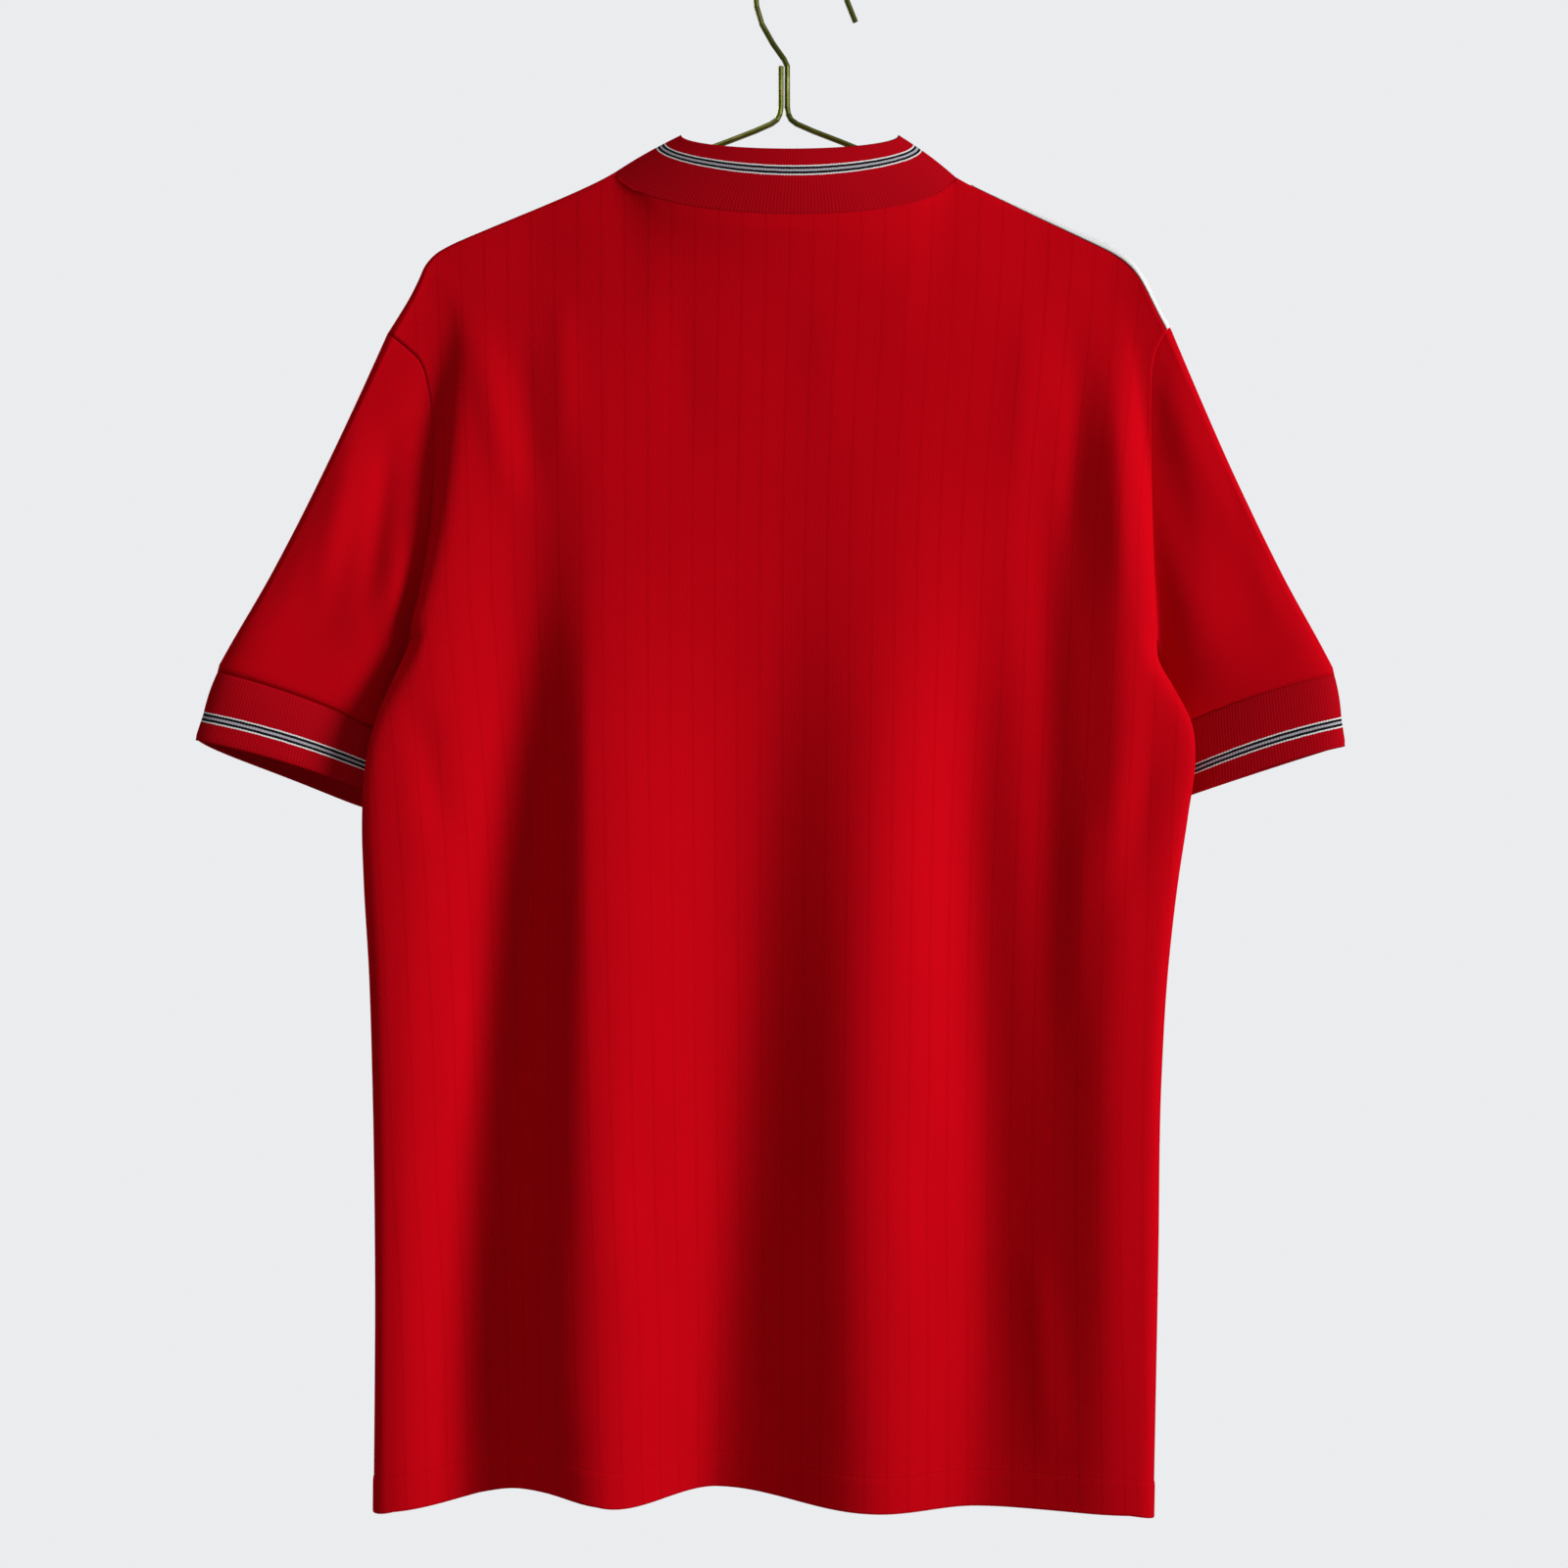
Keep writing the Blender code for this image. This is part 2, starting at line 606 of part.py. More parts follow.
def step_off(grid, normals, distances):
    """Move the first ring off its seam, square to the seam's normals, towards the next ring."""
    seam = grid[0]
    along = unit(np.roll(seam, -1, 0) - np.roll(seam, 1, 0))
    across = unit(np.cross(normals[0], along))
    towards = np.sign(((grid[1] - seam) * across).sum(axis=1))
    grid[0] = seam + across * (towards * distances)[:, None]


def closed_body(name, outer, inner, finish, wraps=False):
    """One closed body between two grids of the same shape, with its rims filled."""
    rows, columns = outer.shape[:2]
    count = rows * columns
    points = np.concatenate([in_metres(outer).reshape(-1, 3), in_metres(inner).reshape(-1, 3)])
    faces = []
    spans = columns if wraps else columns - 1
    for row in range(rows - 1):
        for column in range(spans):
            beside = (column + 1) % columns
            corner = [row * columns + column, row * columns + beside]
            corner += [(row + 1) * columns + beside, (row + 1) * columns + column]
            faces.append(corner)
            faces.append([count + i for i in corner[::-1]])
    rims = []
    for column in range(spans):
        beside = (column + 1) % columns
        rims.append((beside, column))
        rims.append(((rows - 1) * columns + column, (rows - 1) * columns + beside))
    if not wraps:
        for row in range(rows - 1):
            rims.append((row * columns, (row + 1) * columns))
            rims.append(((row + 2) * columns - 1, (row + 1) * columns - 1))
    for first, second in rims:
        faces.append([first, second, count + second, count + first])
    mesh = bpy.data.meshes.new(name)
    mesh.from_pydata(points.tolist(), [], faces)
    shape = bmesh.new()
    shape.from_mesh(mesh)
    bmesh.ops.recalc_face_normals(shape, faces=shape.faces)
    shape.to_mesh(mesh)
    shape.free()
    mesh.shade_smooth()
    mesh.set_sharp_from_angle(angle=math.radians(50))
    mesh.materials.append(finish_of(finish))
    piece = bpy.data.objects.new(name, mesh)
    bpy.context.collection.objects.link(piece)
    return piece


def wall(name, outer, normals, thickness, finish, wraps=False):
    """A cloth wall on the inner side of its outer points; thickness may differ by row."""
    thickness = np.broadcast_to(np.asarray(thickness, float), (outer.shape[0],))
    inner = outer - normals * thickness[:, None, None]
    return closed_body(name, outer, inner, finish, wraps)


def share(*places):
    """Give every piece that meets along a seam the mean of its normals there."""
    mean = unit(sum(normals[at] for normals, at in places))
    for normals, at in places:
        normals[at] = mean


def meet_three(grids, rows, column, ring_normals):
    """Share the normals where both panels meet a ring: panel row to place on the ring."""
    for row, at in rows.items():
        share(
            (grids["back"][1], (row, column)),
            (grids["front"][1], (row, column)),
            (ring_normals, (0, at)),
        )


def hanger_arm(side):
    """One arm's centre line, from the neck's foot out along the ridge and round its end."""
    sign = 1 if side == "left" else -1
    neck_x, neck_drop = SHOULDERS[side][2]
    far_x, far_drop = SHOULDERS[side][4]
    slope = (far_drop - neck_drop) / abs(far_x - neck_x)
    lean = math.atan(slope)

    def drop_at(x):
        return neck_drop + WIRE_BELOW_RIDGE / math.cos(lean) + slope * (x - abs(neck_x))

    path = [(NECK_HALF, NECK_FOOT_DROP), *ARM_BEND, (abs(neck_x), drop_at(abs(neck_x)))]
    arm_end = ARM_ENDS[side]
    path.append((arm_end, drop_at(arm_end)))
    centre_x = arm_end - ARM_END_RADIUS * math.sin(lean)
    centre_drop = drop_at(arm_end) + ARM_END_RADIUS * math.cos(lean)
    for step in range(1, ARM_END_STEPS + 1):
        turn = math.pi / 2 - lean - step / ARM_END_STEPS * (math.pi - lean)
        x = centre_x + ARM_END_RADIUS * math.cos(turn)
        path.append((x, centre_drop - ARM_END_RADIUS * math.sin(turn)))
    return [(sign * x, drop) for x, drop in path]


def hanger_path():
    """The wire's centre line, in x and drop, from the hook's tip to the short end at the neck."""
    hook_x, hook_drop = -MIDDLE_X, HOOK_RADIUS - WIRE
    path = list(HOOK_TIP)
    for degrees in range(0, 181, HOOK_STEP):
        angle = math.radians(degrees)
        path.append((hook_x - HOOK_RADIUS * math.cos(angle), hook_drop - HOOK_RADIUS * math.sin(angle)))
    path += HOOK_SHANK
    path.append((-NECK_HALF, NECK_TOP_DROP))
    path += hanger_arm("right")
    path += hanger_arm("left")[::-1]
    path.append((NECK_HALF, NECK_TOP_DROP))
    return path


def make_hanger():
    path = hanger_path()
    curve = bpy.data.curves.new("hanger", "CURVE")
    curve.dimensions = "3D"
    curve.bevel_depth = WIRE / 1000.0
    curve.bevel_resolution = 2
    curve.use_fill_caps = True
    spline = curve.splines.new("POLY")
    spline.points.add(len(path) - 1)
    for point, (x, drop) in zip(spline.points, path):
        point.co = (*in_metres((x, 0.0, drop)), 1.0)
    curve.materials.append(finish_of("wire_gilt"))
    piece = bpy.data.objects.new("hanger", curve)
    bpy.context.collection.objects.link(piece)


def down_column(points, normals, distance):
    """The point and normal at a distance down one column of a grid."""
    steps = np.linalg.norm(np.diff(points, axis=0), axis=1)
    known = np.concatenate([[0.0], np.cumsum(steps)])
    place = np.array([np.interp(distance, known, points[:, i]) for i in range(3)])
    normal = np.array([np.interp(distance, known, normals[:, i]) for i in range(3)])
    return place, unit(normal)


def make_tape(side, grids):
    """A flat tape along a shoulder, laid on the panels' own points and moved out."""
    by_armhole, by_neck = TAPE_END_COLUMNS
    from_edge, to_edge = TAPE_EDGES[side]
    outer, inner = [], []
    for place in [by_armhole] + list(range(1, NECK_LEFT)) + [by_neck]:
        back_edge = to_edge + (from_edge - to_edge) * place / NECK_LEFT
        low = int(place)
        share_of_next = place - low
        pair = [low, min(low + 1, NECK_LEFT)]
        if side == "right":
            pair = [COLUMNS - i for i in pair]
        outer_line, inner_line = [], []
        for strip in range(TAPE_STRIPS + 1):
            offset = back_edge - TAPE_WIDTH * strip / TAPE_STRIPS
            points, normals = grids["back" if offset > 0 else "front"]
            ends = [down_column(points[:, i], normals[:, i], abs(offset)) for i in pair]
            spot = ends[0][0] * (1 - share_of_next) + ends[1][0] * share_of_next
            normal = unit(ends[0][1] * (1 - share_of_next) + ends[1][1] * share_of_next)
            inner_line.append(spot + normal * SEAM_GAP)
            outer_line.append(spot + normal * (SEAM_GAP + TAPE_THICK))
        outer.append(outer_line)
        inner.append(inner_line)
    closed_body(f"shoulder_tape_{side}", np.array(outer), np.array(inner), "tape_white")


def make_cloth():
    """Every cloth piece, with the seams' normals shared before the walls are made."""
    u, v = np.arange(COLUMNS + 1), np.arange(ROWS + 1)
    half_rows = list(range(UNDERARM_ROW + 1))
    count = len(half_rows)
    grids = {}
    for name, folds, back in (("back", BACK_FOLDS, True), ("front", FRONT_FOLDS, False)):
        points = panel_grid(folds, back, u, v)
        normals = grid_normals(points, 1 if back else -1)
        ridge = list(range(NECK_LEFT + 1)), list(range(NECK_RIGHT, COLUMNS + 1))
        for columns in ridge:
            normals[0, columns] = seam_plane_normals(points[0, columns], 1)
        for column, outward in ((0, -1), (COLUMNS, 1)):
            lower = slice(UNDERARM_ROW, ROWS + 1)
            normals[lower, column] = seam_plane_normals(points[lower, column], outward)
        points[0, ridge[0] + ridge[1], 1] += SEAM_GAP / 2 * (1 if back else -1)
        points[UNDERARM_ROW:, (0, COLUMNS), 1] += SEAM_GAP / 2 * (1 if back else -1)
        grids[name] = (points, normals)

    ring_count = 2 * count - 2
    back_half = list(range(count))
    front_half = [0] + list(range(ring_count - 1, count - 2, -1))
    for side, column in (("left", 0), ("right", COLUMNS)):
        outward = 1 if side == "left" else -1
        sleeve = sleeve_grid(side, half_rows, np.arange(SLEEVE_ROWS + 1) / SLEEVE_ROWS)
        cuff = cuff_grid(side, half_rows, np.arange(CUFF_ROWS + 1) / CUFF_ROWS)
        sleeve_normals = grid_normals(sleeve, outward, True)
        cuff_normals = grid_normals(cuff, outward, True)
        corners = {0: 0, UNDERARM_ROW: UNDERARM_ROW}
        meet_three(grids, corners, column, sleeve_normals)
        notch = unit(np.array([outward * UNDERARM_LEAN, 0.0, 1.0]))
        sleeve_normals[0, UNDERARM_ROW] = notch
        for _, normals in grids.values():
            normals[UNDERARM_ROW, column] = notch
        for name, half in (("back", back_half), ("front", front_half)):
            share((grids[name][1], (half_rows[1:-1], column)), (sleeve_normals, (0, half[1:-1])))
        share((sleeve_normals, -1), (cuff_normals, 0))
        by_underarm = (1 - np.cos(ring_angles(half_rows))) / 2
        step_off(sleeve, sleeve_normals, SEAM_GAP * (1 + by_underarm**8))
        step_off(cuff, cuff_normals, np.full(ring_count, SEAM_GAP))
        wall(f"sleeve_{side}", sleeve, sleeve_normals, CLOTH, "cloth_red", True)
        wall(f"cuff_{side}", cuff, cuff_normals, RIB, "rib_red", True)

    columns = np.arange(NECK_LEFT, NECK_RIGHT + 1)
    neck = collar_grid(columns, np.arange(COLLAR_ROWS + 1) / COLLAR_ROWS)
    neck_normals = grid_normals(neck, -1, True)
    span = len(columns)
    front_columns = [0] + list(range(2 * span - 3, span - 2, -1))
    for column, at in ((NECK_LEFT, 0), (NECK_RIGHT, span - 1)):
        meet_three(grids, {0: at}, column, neck_normals)
    for name, at in (("back", list(range(span))), ("front", front_columns)):
        share((grids[name][1], (0, list(columns[1:-1]))), (neck_normals, (0, at[1:-1])))
    by_shoulder = np.abs(np.cos(ring_neck_angles(columns)))
    step_off(neck, neck_normals, SEAM_GAP + (NECK_POINT_GAP - SEAM_GAP) * by_shoulder**4)
    wall("collar", neck, neck_normals, [CLOTH] + [RIB] * COLLAR_ROWS, "rib_red", True)

    thickness = np.full(ROWS + 1, CLOTH)
    thickness[-2:] = HEM
    for name, (points, normals) in grids.items():
        wall(f"{name}_panel", points, normals, thickness, "cloth_red")
    for side in ("left", "right"):
        make_tape(side, grids)


clear_scene()
make_cloth()
make_hanger()
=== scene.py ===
import math
from collections import namedtuple

import bpy
import numpy as np
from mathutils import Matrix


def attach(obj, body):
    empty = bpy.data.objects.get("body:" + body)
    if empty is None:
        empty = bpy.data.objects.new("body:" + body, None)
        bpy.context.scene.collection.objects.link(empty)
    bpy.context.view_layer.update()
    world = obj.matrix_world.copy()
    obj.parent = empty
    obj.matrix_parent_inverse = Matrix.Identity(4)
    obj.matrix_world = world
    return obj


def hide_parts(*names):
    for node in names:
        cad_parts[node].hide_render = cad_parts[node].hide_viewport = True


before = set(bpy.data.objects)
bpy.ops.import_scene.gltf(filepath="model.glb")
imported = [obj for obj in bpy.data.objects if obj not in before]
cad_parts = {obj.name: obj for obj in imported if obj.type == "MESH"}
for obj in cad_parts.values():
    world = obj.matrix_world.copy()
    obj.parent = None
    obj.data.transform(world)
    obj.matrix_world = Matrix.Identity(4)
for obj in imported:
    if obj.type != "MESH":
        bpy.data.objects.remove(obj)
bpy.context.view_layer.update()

# Camera: level with the middle of the jersey and square to its back, 1.6 m behind it.
MIDDLE_X = 8.6
CAMERA_DROP = 474.4
CAMERA_AWAY = 1600.0
VIEW_WIDTH = 888.0

camera_data = bpy.data.cameras.new("camera")
camera_data.sensor_fit = "HORIZONTAL"
camera_data.angle = 2 * math.atan(VIEW_WIDTH / 2 / CAMERA_AWAY)
camera = bpy.data.objects.new("camera", camera_data)
camera.location = (MIDDLE_X / 1000, CAMERA_AWAY / 1000, -CAMERA_DROP / 1000)
camera.rotation_euler = (math.radians(90), 0, math.radians(180))
bpy.context.collection.objects.link(camera)
bpy.context.scene.camera = camera
bpy.context.scene.view_settings.view_transform = "Standard"

# Studio: a pale round floor well below the hem, a pale room, and soft lamps. The main lamp
# stands to the right of the camera and a little above it, so the folds are dark on their left.
FLOOR_DROP = 1.40
FLOOR_RADIUS = 1.5
FLOOR_PALE = (0.78, 0.78, 0.79, 1.0)
ROOM_PALE = (0.83, 0.84, 0.86, 1.0)
ROOM_FILL = 0.15

bpy.ops.object.select_all(action="DESELECT")
bpy.ops.mesh.primitive_circle_add(
    vertices=96, radius=FLOOR_RADIUS, fill_type="NGON", location=(0, 0, -FLOOR_DROP)
)
floor = bpy.context.object
floor.name = "studio_floor"
floor_paint = bpy.data.materials.new("studio_floor")
floor_paint.use_nodes = True
floor_shader = floor_paint.node_tree.nodes["Principled BSDF"]
floor_shader.inputs["Base Color"].default_value = FLOOR_PALE
floor_shader.inputs["Roughness"].default_value = 0.9
floor.data.materials.append(floor_paint)

room = bpy.data.worlds.new("room")
room.use_nodes = True
bpy.context.scene.world = room
tree = room.node_tree
tree.nodes.clear()
seen = tree.nodes.new("ShaderNodeBackground")
seen.inputs["Color"].default_value = ROOM_PALE
fill = tree.nodes.new("ShaderNodeBackground")
fill.inputs["Color"].default_value = (1.0, 1.0, 1.0, 1.0)
fill.inputs["Strength"].default_value = ROOM_FILL
rays = tree.nodes.new("ShaderNodeLightPath")
either = tree.nodes.new("ShaderNodeMixShader")
out = tree.nodes.new("ShaderNodeOutputWorld")
tree.links.new(rays.outputs["Is Camera Ray"], either.inputs[0])
tree.links.new(fill.outputs[0], either.inputs[1])
tree.links.new(seen.outputs[0], either.inputs[2])
tree.links.new(either.outputs[0], out.inputs["Surface"])

Lamp = namedtuple("Lamp", "name x y z aim_x aim_z size watts cone")
LAMPS = (
    Lamp("lamp_main", -3.6, 1.85, 0.10, 0.18, -0.45, 0.90, 985.0, 30),
    Lamp("lamp_top", 0.3, 0.9, 1.4, 0.0, -0.35, 1.2, 6.0, None),
    Lamp("lamp_front", 1.2, -1.9, 0.5, 0.0, -0.45, 1.2, 30.0, None),
)
for lamp in LAMPS:
    light = bpy.data.lights.new(lamp.name, "SPOT" if lamp.cone else "AREA")
    if lamp.cone:
        light.spot_size = math.radians(lamp.cone)
        light.spot_blend = 1.0
        light.shadow_soft_size = lamp.size
    else:
        light.size = lamp.size
    light.energy = lamp.watts
    stand = bpy.data.objects.new(lamp.name, light)
    stand.location = (lamp.x, lamp.y, lamp.z)
    aim = np.array([lamp.aim_x, 0.0, lamp.aim_z]) - np.array([lamp.x, lamp.y, lamp.z])
    across, up = math.hypot(aim[0], aim[1]), aim[2]
    stand.rotation_euler = (math.atan2(across, -up), 0, math.atan2(aim[1], aim[0]) - math.pi / 2)
    bpy.context.collection.objects.link(stand)

# Back panel: one piece of fine knitted polyester with tonal pinstripes, cut from the shoulders
# to the hem. It hangs from the hanger's arms, so its folds start at the arms and deepen
# downwards. Its foot is turned up once and stitched.

# Sizes are in mm: x, y to the back, drop. The grid's columns run from left to right and its
# rows from the top down.
EDGE_COLUMNS = 4
NECK_LEFT = 10
NECK_RIGHT = 22
COLUMNS = 32
RIDGE_ROWS = 4
ARM_ROWS = 11
UNDERARM_ROW = 15
ROWS = 28
HEM_ROWS = 1.5
ROW_SPREAD = 1.35
FINE_PER_COLUMN = 5
FINE_ROW = 0.2
FINE_SKIRT_ROWS = 105

# The ridge over the hanger's arms, and how the cloth leaves it at the armholes and the neck
RIDGE_DROP = 3.3
RIDGE_HALF = 3.6
HANG_FREE = 120.0
HANG_SOONER_BY_NECK = 0.45
ARMHOLE_HALF = 8.0
ARMHOLE_ROUND = 6.0
ARMHOLE_SINK = {"left": 5.5, "right": 4.0}
SINK_FROM_ROW = 3.6
ARMHOLE_LAP = {"left": 4.2, "right": 1.5}
LAP_FROM_ROW = 5
CAP_ENDS = {"left": 12.5, "right": 11.5}
NECK_ROUND = 8.0
NECK_HALF_OPEN = 8.0
NECK_COLUMNS = 3
HANGER_END_DISTANCE = 56.0

# Each shoulder from the neck to the armhole, and each armhole on to the underarm: x, drop
SHOULDERS = {
    "left": (
        (95.5, 127.8), (104.0, 132.9), (113.0, 137.2), (119.0, 139.8), (170.0, 161.1),
        (180.0, 165.3), (189.0, 169.4), (197.6, 174.6), (203.2, 181.0), (206.8, 189.0),
        (211.2, 198.0), (217.4, 208.5), (224.5, 219.7),
    ),
    "right": (
        (-97.1, 130.6), (-106.0, 135.9), (-115.0, 140.2), (-121.0, 142.8), (-168.0, 162.9),
        (-178.0, 167.2), (-187.4, 171.6), (-195.6, 177.6), (-201.4, 184.6), (-206.0, 193.0),
        (-210.2, 201.5), (-214.8, 210.0), (-219.2, 217.4),
    ),
}
ARMHOLES = {
    "left": (
        (224.5, 219.7), (219.6, 223.4), (213.6, 228.2), (205.9, 235.6), (200.6, 252.4),
        (198.6, 290.0), (200.6, 335.0), (204.2, 362.0), (207.8, 380.0), (211.5, 393.0),
    ),
    "right": (
        (-219.2, 217.4), (-215.0, 221.4), (-211.4, 227.0), (-208.6, 236.0), (-207.4, 256.0),
        (-207.6, 290.0), (-208.6, 330.0), (-209.8, 365.0), (-210.9, 393.0),
    ),
}

# The side seams from the underarm to the hem
Side = namedtuple("Side", "drop left right y")
SIDES = (
    Side(393, 211.5, -210.9, 0.0),
    Side(404, 215.6, -211.6, 3.0),
    Side(420, 222.2, -219.6, 7.5),
    Side(440, 229.8, -229.0, 11.0),
    Side(462, 234.8, -230.9, 12.0),
    Side(490, 237.0, -227.4, 9.0),
    Side(530, 236.4, -221.6, 4.0),
    Side(580, 233.6, -216.0, 0.0),
    Side(640, 231.6, -212.2, 0.0),
    Side(740, 230.0, -210.2, 0.0),
    Side(885, 230.8, -207.0, 0.0),
)

# A fold line: its grid column, and its x and depth at each of the heights in FOLD_DROPS
Fold = namedtuple("Fold", "column x depth")
FOLD_DROPS = (252, 341, 474, 696, 880)
BACK_FOLDS = (
    Fold(4, (193, 194.5, 211, 216, 218), (16, 18, 22, 25, 24)),
    Fold(7, (142, 142, 146, 168, 172), (15.5, 12.5, 9, 7, 6)),
    Fold(10, (106, 106, 108, 106, 103), (17, 19, 29, 38, 43)),
    Fold(16, (6, 6, 17, 25, 36), (18, 17, 15, 10, 7)),
    Fold(20, (-56, -56, -50, -44, -47), (19, 20, 28, 36, 41)),
    Fold(24, (-150, -139, -114, -117, -108), (15, 12, 13, 15, 22)),
    Fold(28, (-193, -196, -201, -195, -191), (12, 15, 21, 29, 35)),
)

# The hem: grid column, drop
BACK_HEM = (
    (0, 882.0), (4, 880.5), (7, 874.2), (8, 869.5), (8.8, 868.8), (10, 873.2), (16, 870.2),
    (20, 877.4), (24, 877.8), (28, 879.7), (32, 884.0),
)
HEM_BAND = 20.0

# The neckline, and its angles at the grid's neck columns
NECK_LEFT_X = 95.5
NECK_RIGHT_X = -97.1
NECK_LEFT_DROP = 127.8
NECK_RIGHT_DROP = 130.6
BACK_NECK_DROP = 156.5
BACK_NECK_Y = 24.0
FRONT_NECK_DROP = 236.0
FRONT_NECK_Y = 27.0
NECK_DEGREES = (0, 5, 18, 35, 53, 71, 90, 109, 127, 145, 162, 175, 180)
NECK_SQUARE = 1.0
NECK_SCOOP = 1.15

# The sheet and its edges, and how far it settles beside the neck points
SEAM_GAP = 0.02
CLOTH = 0.9
HEM_PROUD = 0.5
HEM_STEP = 2.5
EDGE_SQUARE = 4.0
EDGE_SQUARE_BY = 60.0
RELAX_REACH = 11.0
SOFTENINGS = 120

# How the pinstripes draw together down the cloth, on each side of one that stays upright
STRIPE_DRAW = 0.062
STRIPE_DRAWN_BY = 230.0
STRIPE_STEADY_X = 77.0

# Dyes, and the pinstripes, knit and stitches that the materials measure in metres
CLOTH_RED = (0.64, 0.0019, 0.0084, 1.0)
CLOTH_DEEP = (0.56, 0.0016, 0.0068, 1.0)
STRIPE_RED = (0.40, 0.0006, 0.0030, 1.0)
STRIPE_PITCH = 0.01335
STRIPE_SHIFT = 0.0034
STRIPE_WIDTH = 0.0021
WALE = 0.00095
COURSE = 0.0008
STITCH = 0.0026
STITCH_HALF_WIDTH = 0.0008
SEAM_DIP = 0.0022

# Creases of the back: where each starts and ends, how wide it is, and how
# far it stands proud (a trough is negative).
Crease = namedtuple("Crease", "x drop x_end drop_end width depth")
BACK_CREASES = (
    Crease(178, 200, 150, 330, 9, 1.6),
    Crease(150, 215, 138, 330, 10, -1.8),
    Crease(125, 190, 122, 300, 8, 1.1),
    Crease(-172, 215, -160, 350, 9, -1.7),
    Crease(-185, 235, -190, 390, 7, 1.6),
    Crease(-138, 200, -132, 320, 9, 1.0),
    Crease(60, 190, 52, 310, 12, -0.9),
    Crease(-20, 185, -30, 300, 13, 0.8),
    Crease(206, 420, 188, 520, 9, -2.0),
    Crease(-206, 440, -186, 560, 10, -2.2),
    Crease(-170, 470, -158, 640, 9, 1.3),
    Crease(182, 560, 190, 700, 10, 1.4),
    Crease(80, 620, 72, 800, 12, -1.2),
    Crease(128, 700, 120, 870, 10, 1.3),
    Crease(-8, 690, 2, 860, 11, 1.2),
    Crease(-78, 640, -84, 800, 12, -1.3),
    Crease(-140, 720, -150, 870, 9, 1.5),
    Crease(-106, 300, -114, 1000, 22, -5.5),
    Crease(-161, 180, -164, 420, 10, -2.0),
    Crease(-190, 180, -188, 640, 13, 3.2),
    Crease(-148, 200, -148, 700, 14, -3.8),
    Crease(-182, 430, -176, 1000, 17, 3.0),
    Crease(146, 300, 172, 1000, 18, -3.0),
)


def unit(vectors):
    return vectors / np.linalg.norm(vectors, axis=-1, keepdims=True)


def in_metres(points):
    """Points in metres, from (x from the collar's middle, y, drop) in mm."""
    placed = np.stack([points[..., 0] + MIDDLE_X, points[..., 1], -points[..., 2]], axis=-1)
    return placed / 1000.0


def smooth_curve(at, known, values):
    """A smooth curve through values given at known places, read at the places in at."""
    known = np.asarray(known, float)
    values = np.asarray(values, float)
    if values.ndim == 1:
        return smooth_curve(at, known, values[:, None])[..., 0]
    at = np.clip(np.asarray(at, float), known[0], known[-1])
    slopes = np.gradient(values, known, axis=0)
    start = np.clip(np.searchsorted(known, at, side="right") - 1, 0, len(known) - 2)
    span = (known[start + 1] - known[start])[..., None]
    t = (at - known[start])[..., None] / span
    rise = values[start + 1] - values[start]
    bend_in = slopes[start] * span - rise
    bend_out = rise - slopes[start + 1] * span
    return values[start] + rise * t + t * (1 - t) * (bend_in * (1 - t) + bend_out * t)


def run_along(points, axis):
    """The distance run along a line, or along a grid's lines, from the first points, in mm."""
    steps = np.linalg.norm(np.diff(points, axis=axis), axis=-1)
    start = np.zeros_like(np.take(steps, [0], axis))
    return np.concatenate([start, np.cumsum(steps, axis)], axis)


def line_length(points):
    return float(np.linalg.norm(np.diff(np.asarray(points, float), axis=0), axis=1).sum())


def along_line(points, distances):
    """Points at given distances along a smooth line."""
    points = np.asarray(points, float)
    return smooth_curve(distances, run_along(points, 0), points)


def ease(t):
    """From 0 to 1, quick at first and level at the end."""
    return 1 - (1 - np.clip(t, 0, 1)) ** 2


def fade(t):
    """From 0 to 1, level at both ends."""
    t = np.clip(t, 0, 1)
    return t * t * (3 - 2 * t)


def quarter(steps, count):
    """The angle of a quarter round, after some of its count of steps."""
    return np.clip(steps, 0, count) / count * math.pi / 2


def side_edges(drop):
    """Left x, right x and y of the side seams at a height."""
    return smooth_curve(drop, [s.drop for s in SIDES], [(s.left, s.right, s.y) for s in SIDES])


def fold_lines(folds, drop):
    """x and depth of each fold line at a height."""
    x = smooth_curve(drop, FOLD_DROPS, np.array([fold.x for fold in folds]).T)
    return x, smooth_curve(drop, FOLD_DROPS, np.array([fold.depth for fold in folds]).T)


def fold_depth(folds, x, drop):
    """Depth of a panel at (x, drop): a cosine from each fold line to the next."""
    lines, depths = fold_lines(folds, drop)
    depth = depths[..., 0].copy()
    for i in range(len(folds) - 1):
        t = (lines[..., i] - x) / (lines[..., i] - lines[..., i + 1])
        depth += (depths[..., i + 1] - depths[..., i]) * (1 - np.cos(np.pi * np.clip(t, 0, 1))) / 2
    return depth


def across_body(folds, u, drop):
    """x of the columns u at heights below the underarm: even steps between fold lines."""
    edges = side_edges(drop)
    lines, _ = fold_lines(folds, drop)
    left = edges[..., 0] - (edges[..., 0] - lines[..., 0]) * (1 - np.cos(quarter(u, EDGE_COLUMNS)))
    right = edges[..., 1] - (edges[..., 1] - lines[..., -1]) * (
        1 - np.cos(quarter(COLUMNS - u, EDGE_COLUMNS))
    )
    x = np.where(u < COLUMNS / 2, left, right)
    for i in range(len(folds) - 1):
        first, last = folds[i].column, folds[i + 1].column
        t = (u - first) / (last - first)
        between = lines[..., i] + (lines[..., i + 1] - lines[..., i]) * t
        x = np.where((t >= 0) & (t <= 1), between, x)
    return x


def neck_angle(u):
    return np.radians(np.interp(u, range(NECK_LEFT, NECK_RIGHT + 1), NECK_DEGREES))


def oval(left, right, angle):
    """From left to right round half an oval."""
    return (left + right) / 2 + (left - right) / 2 * np.cos(angle)


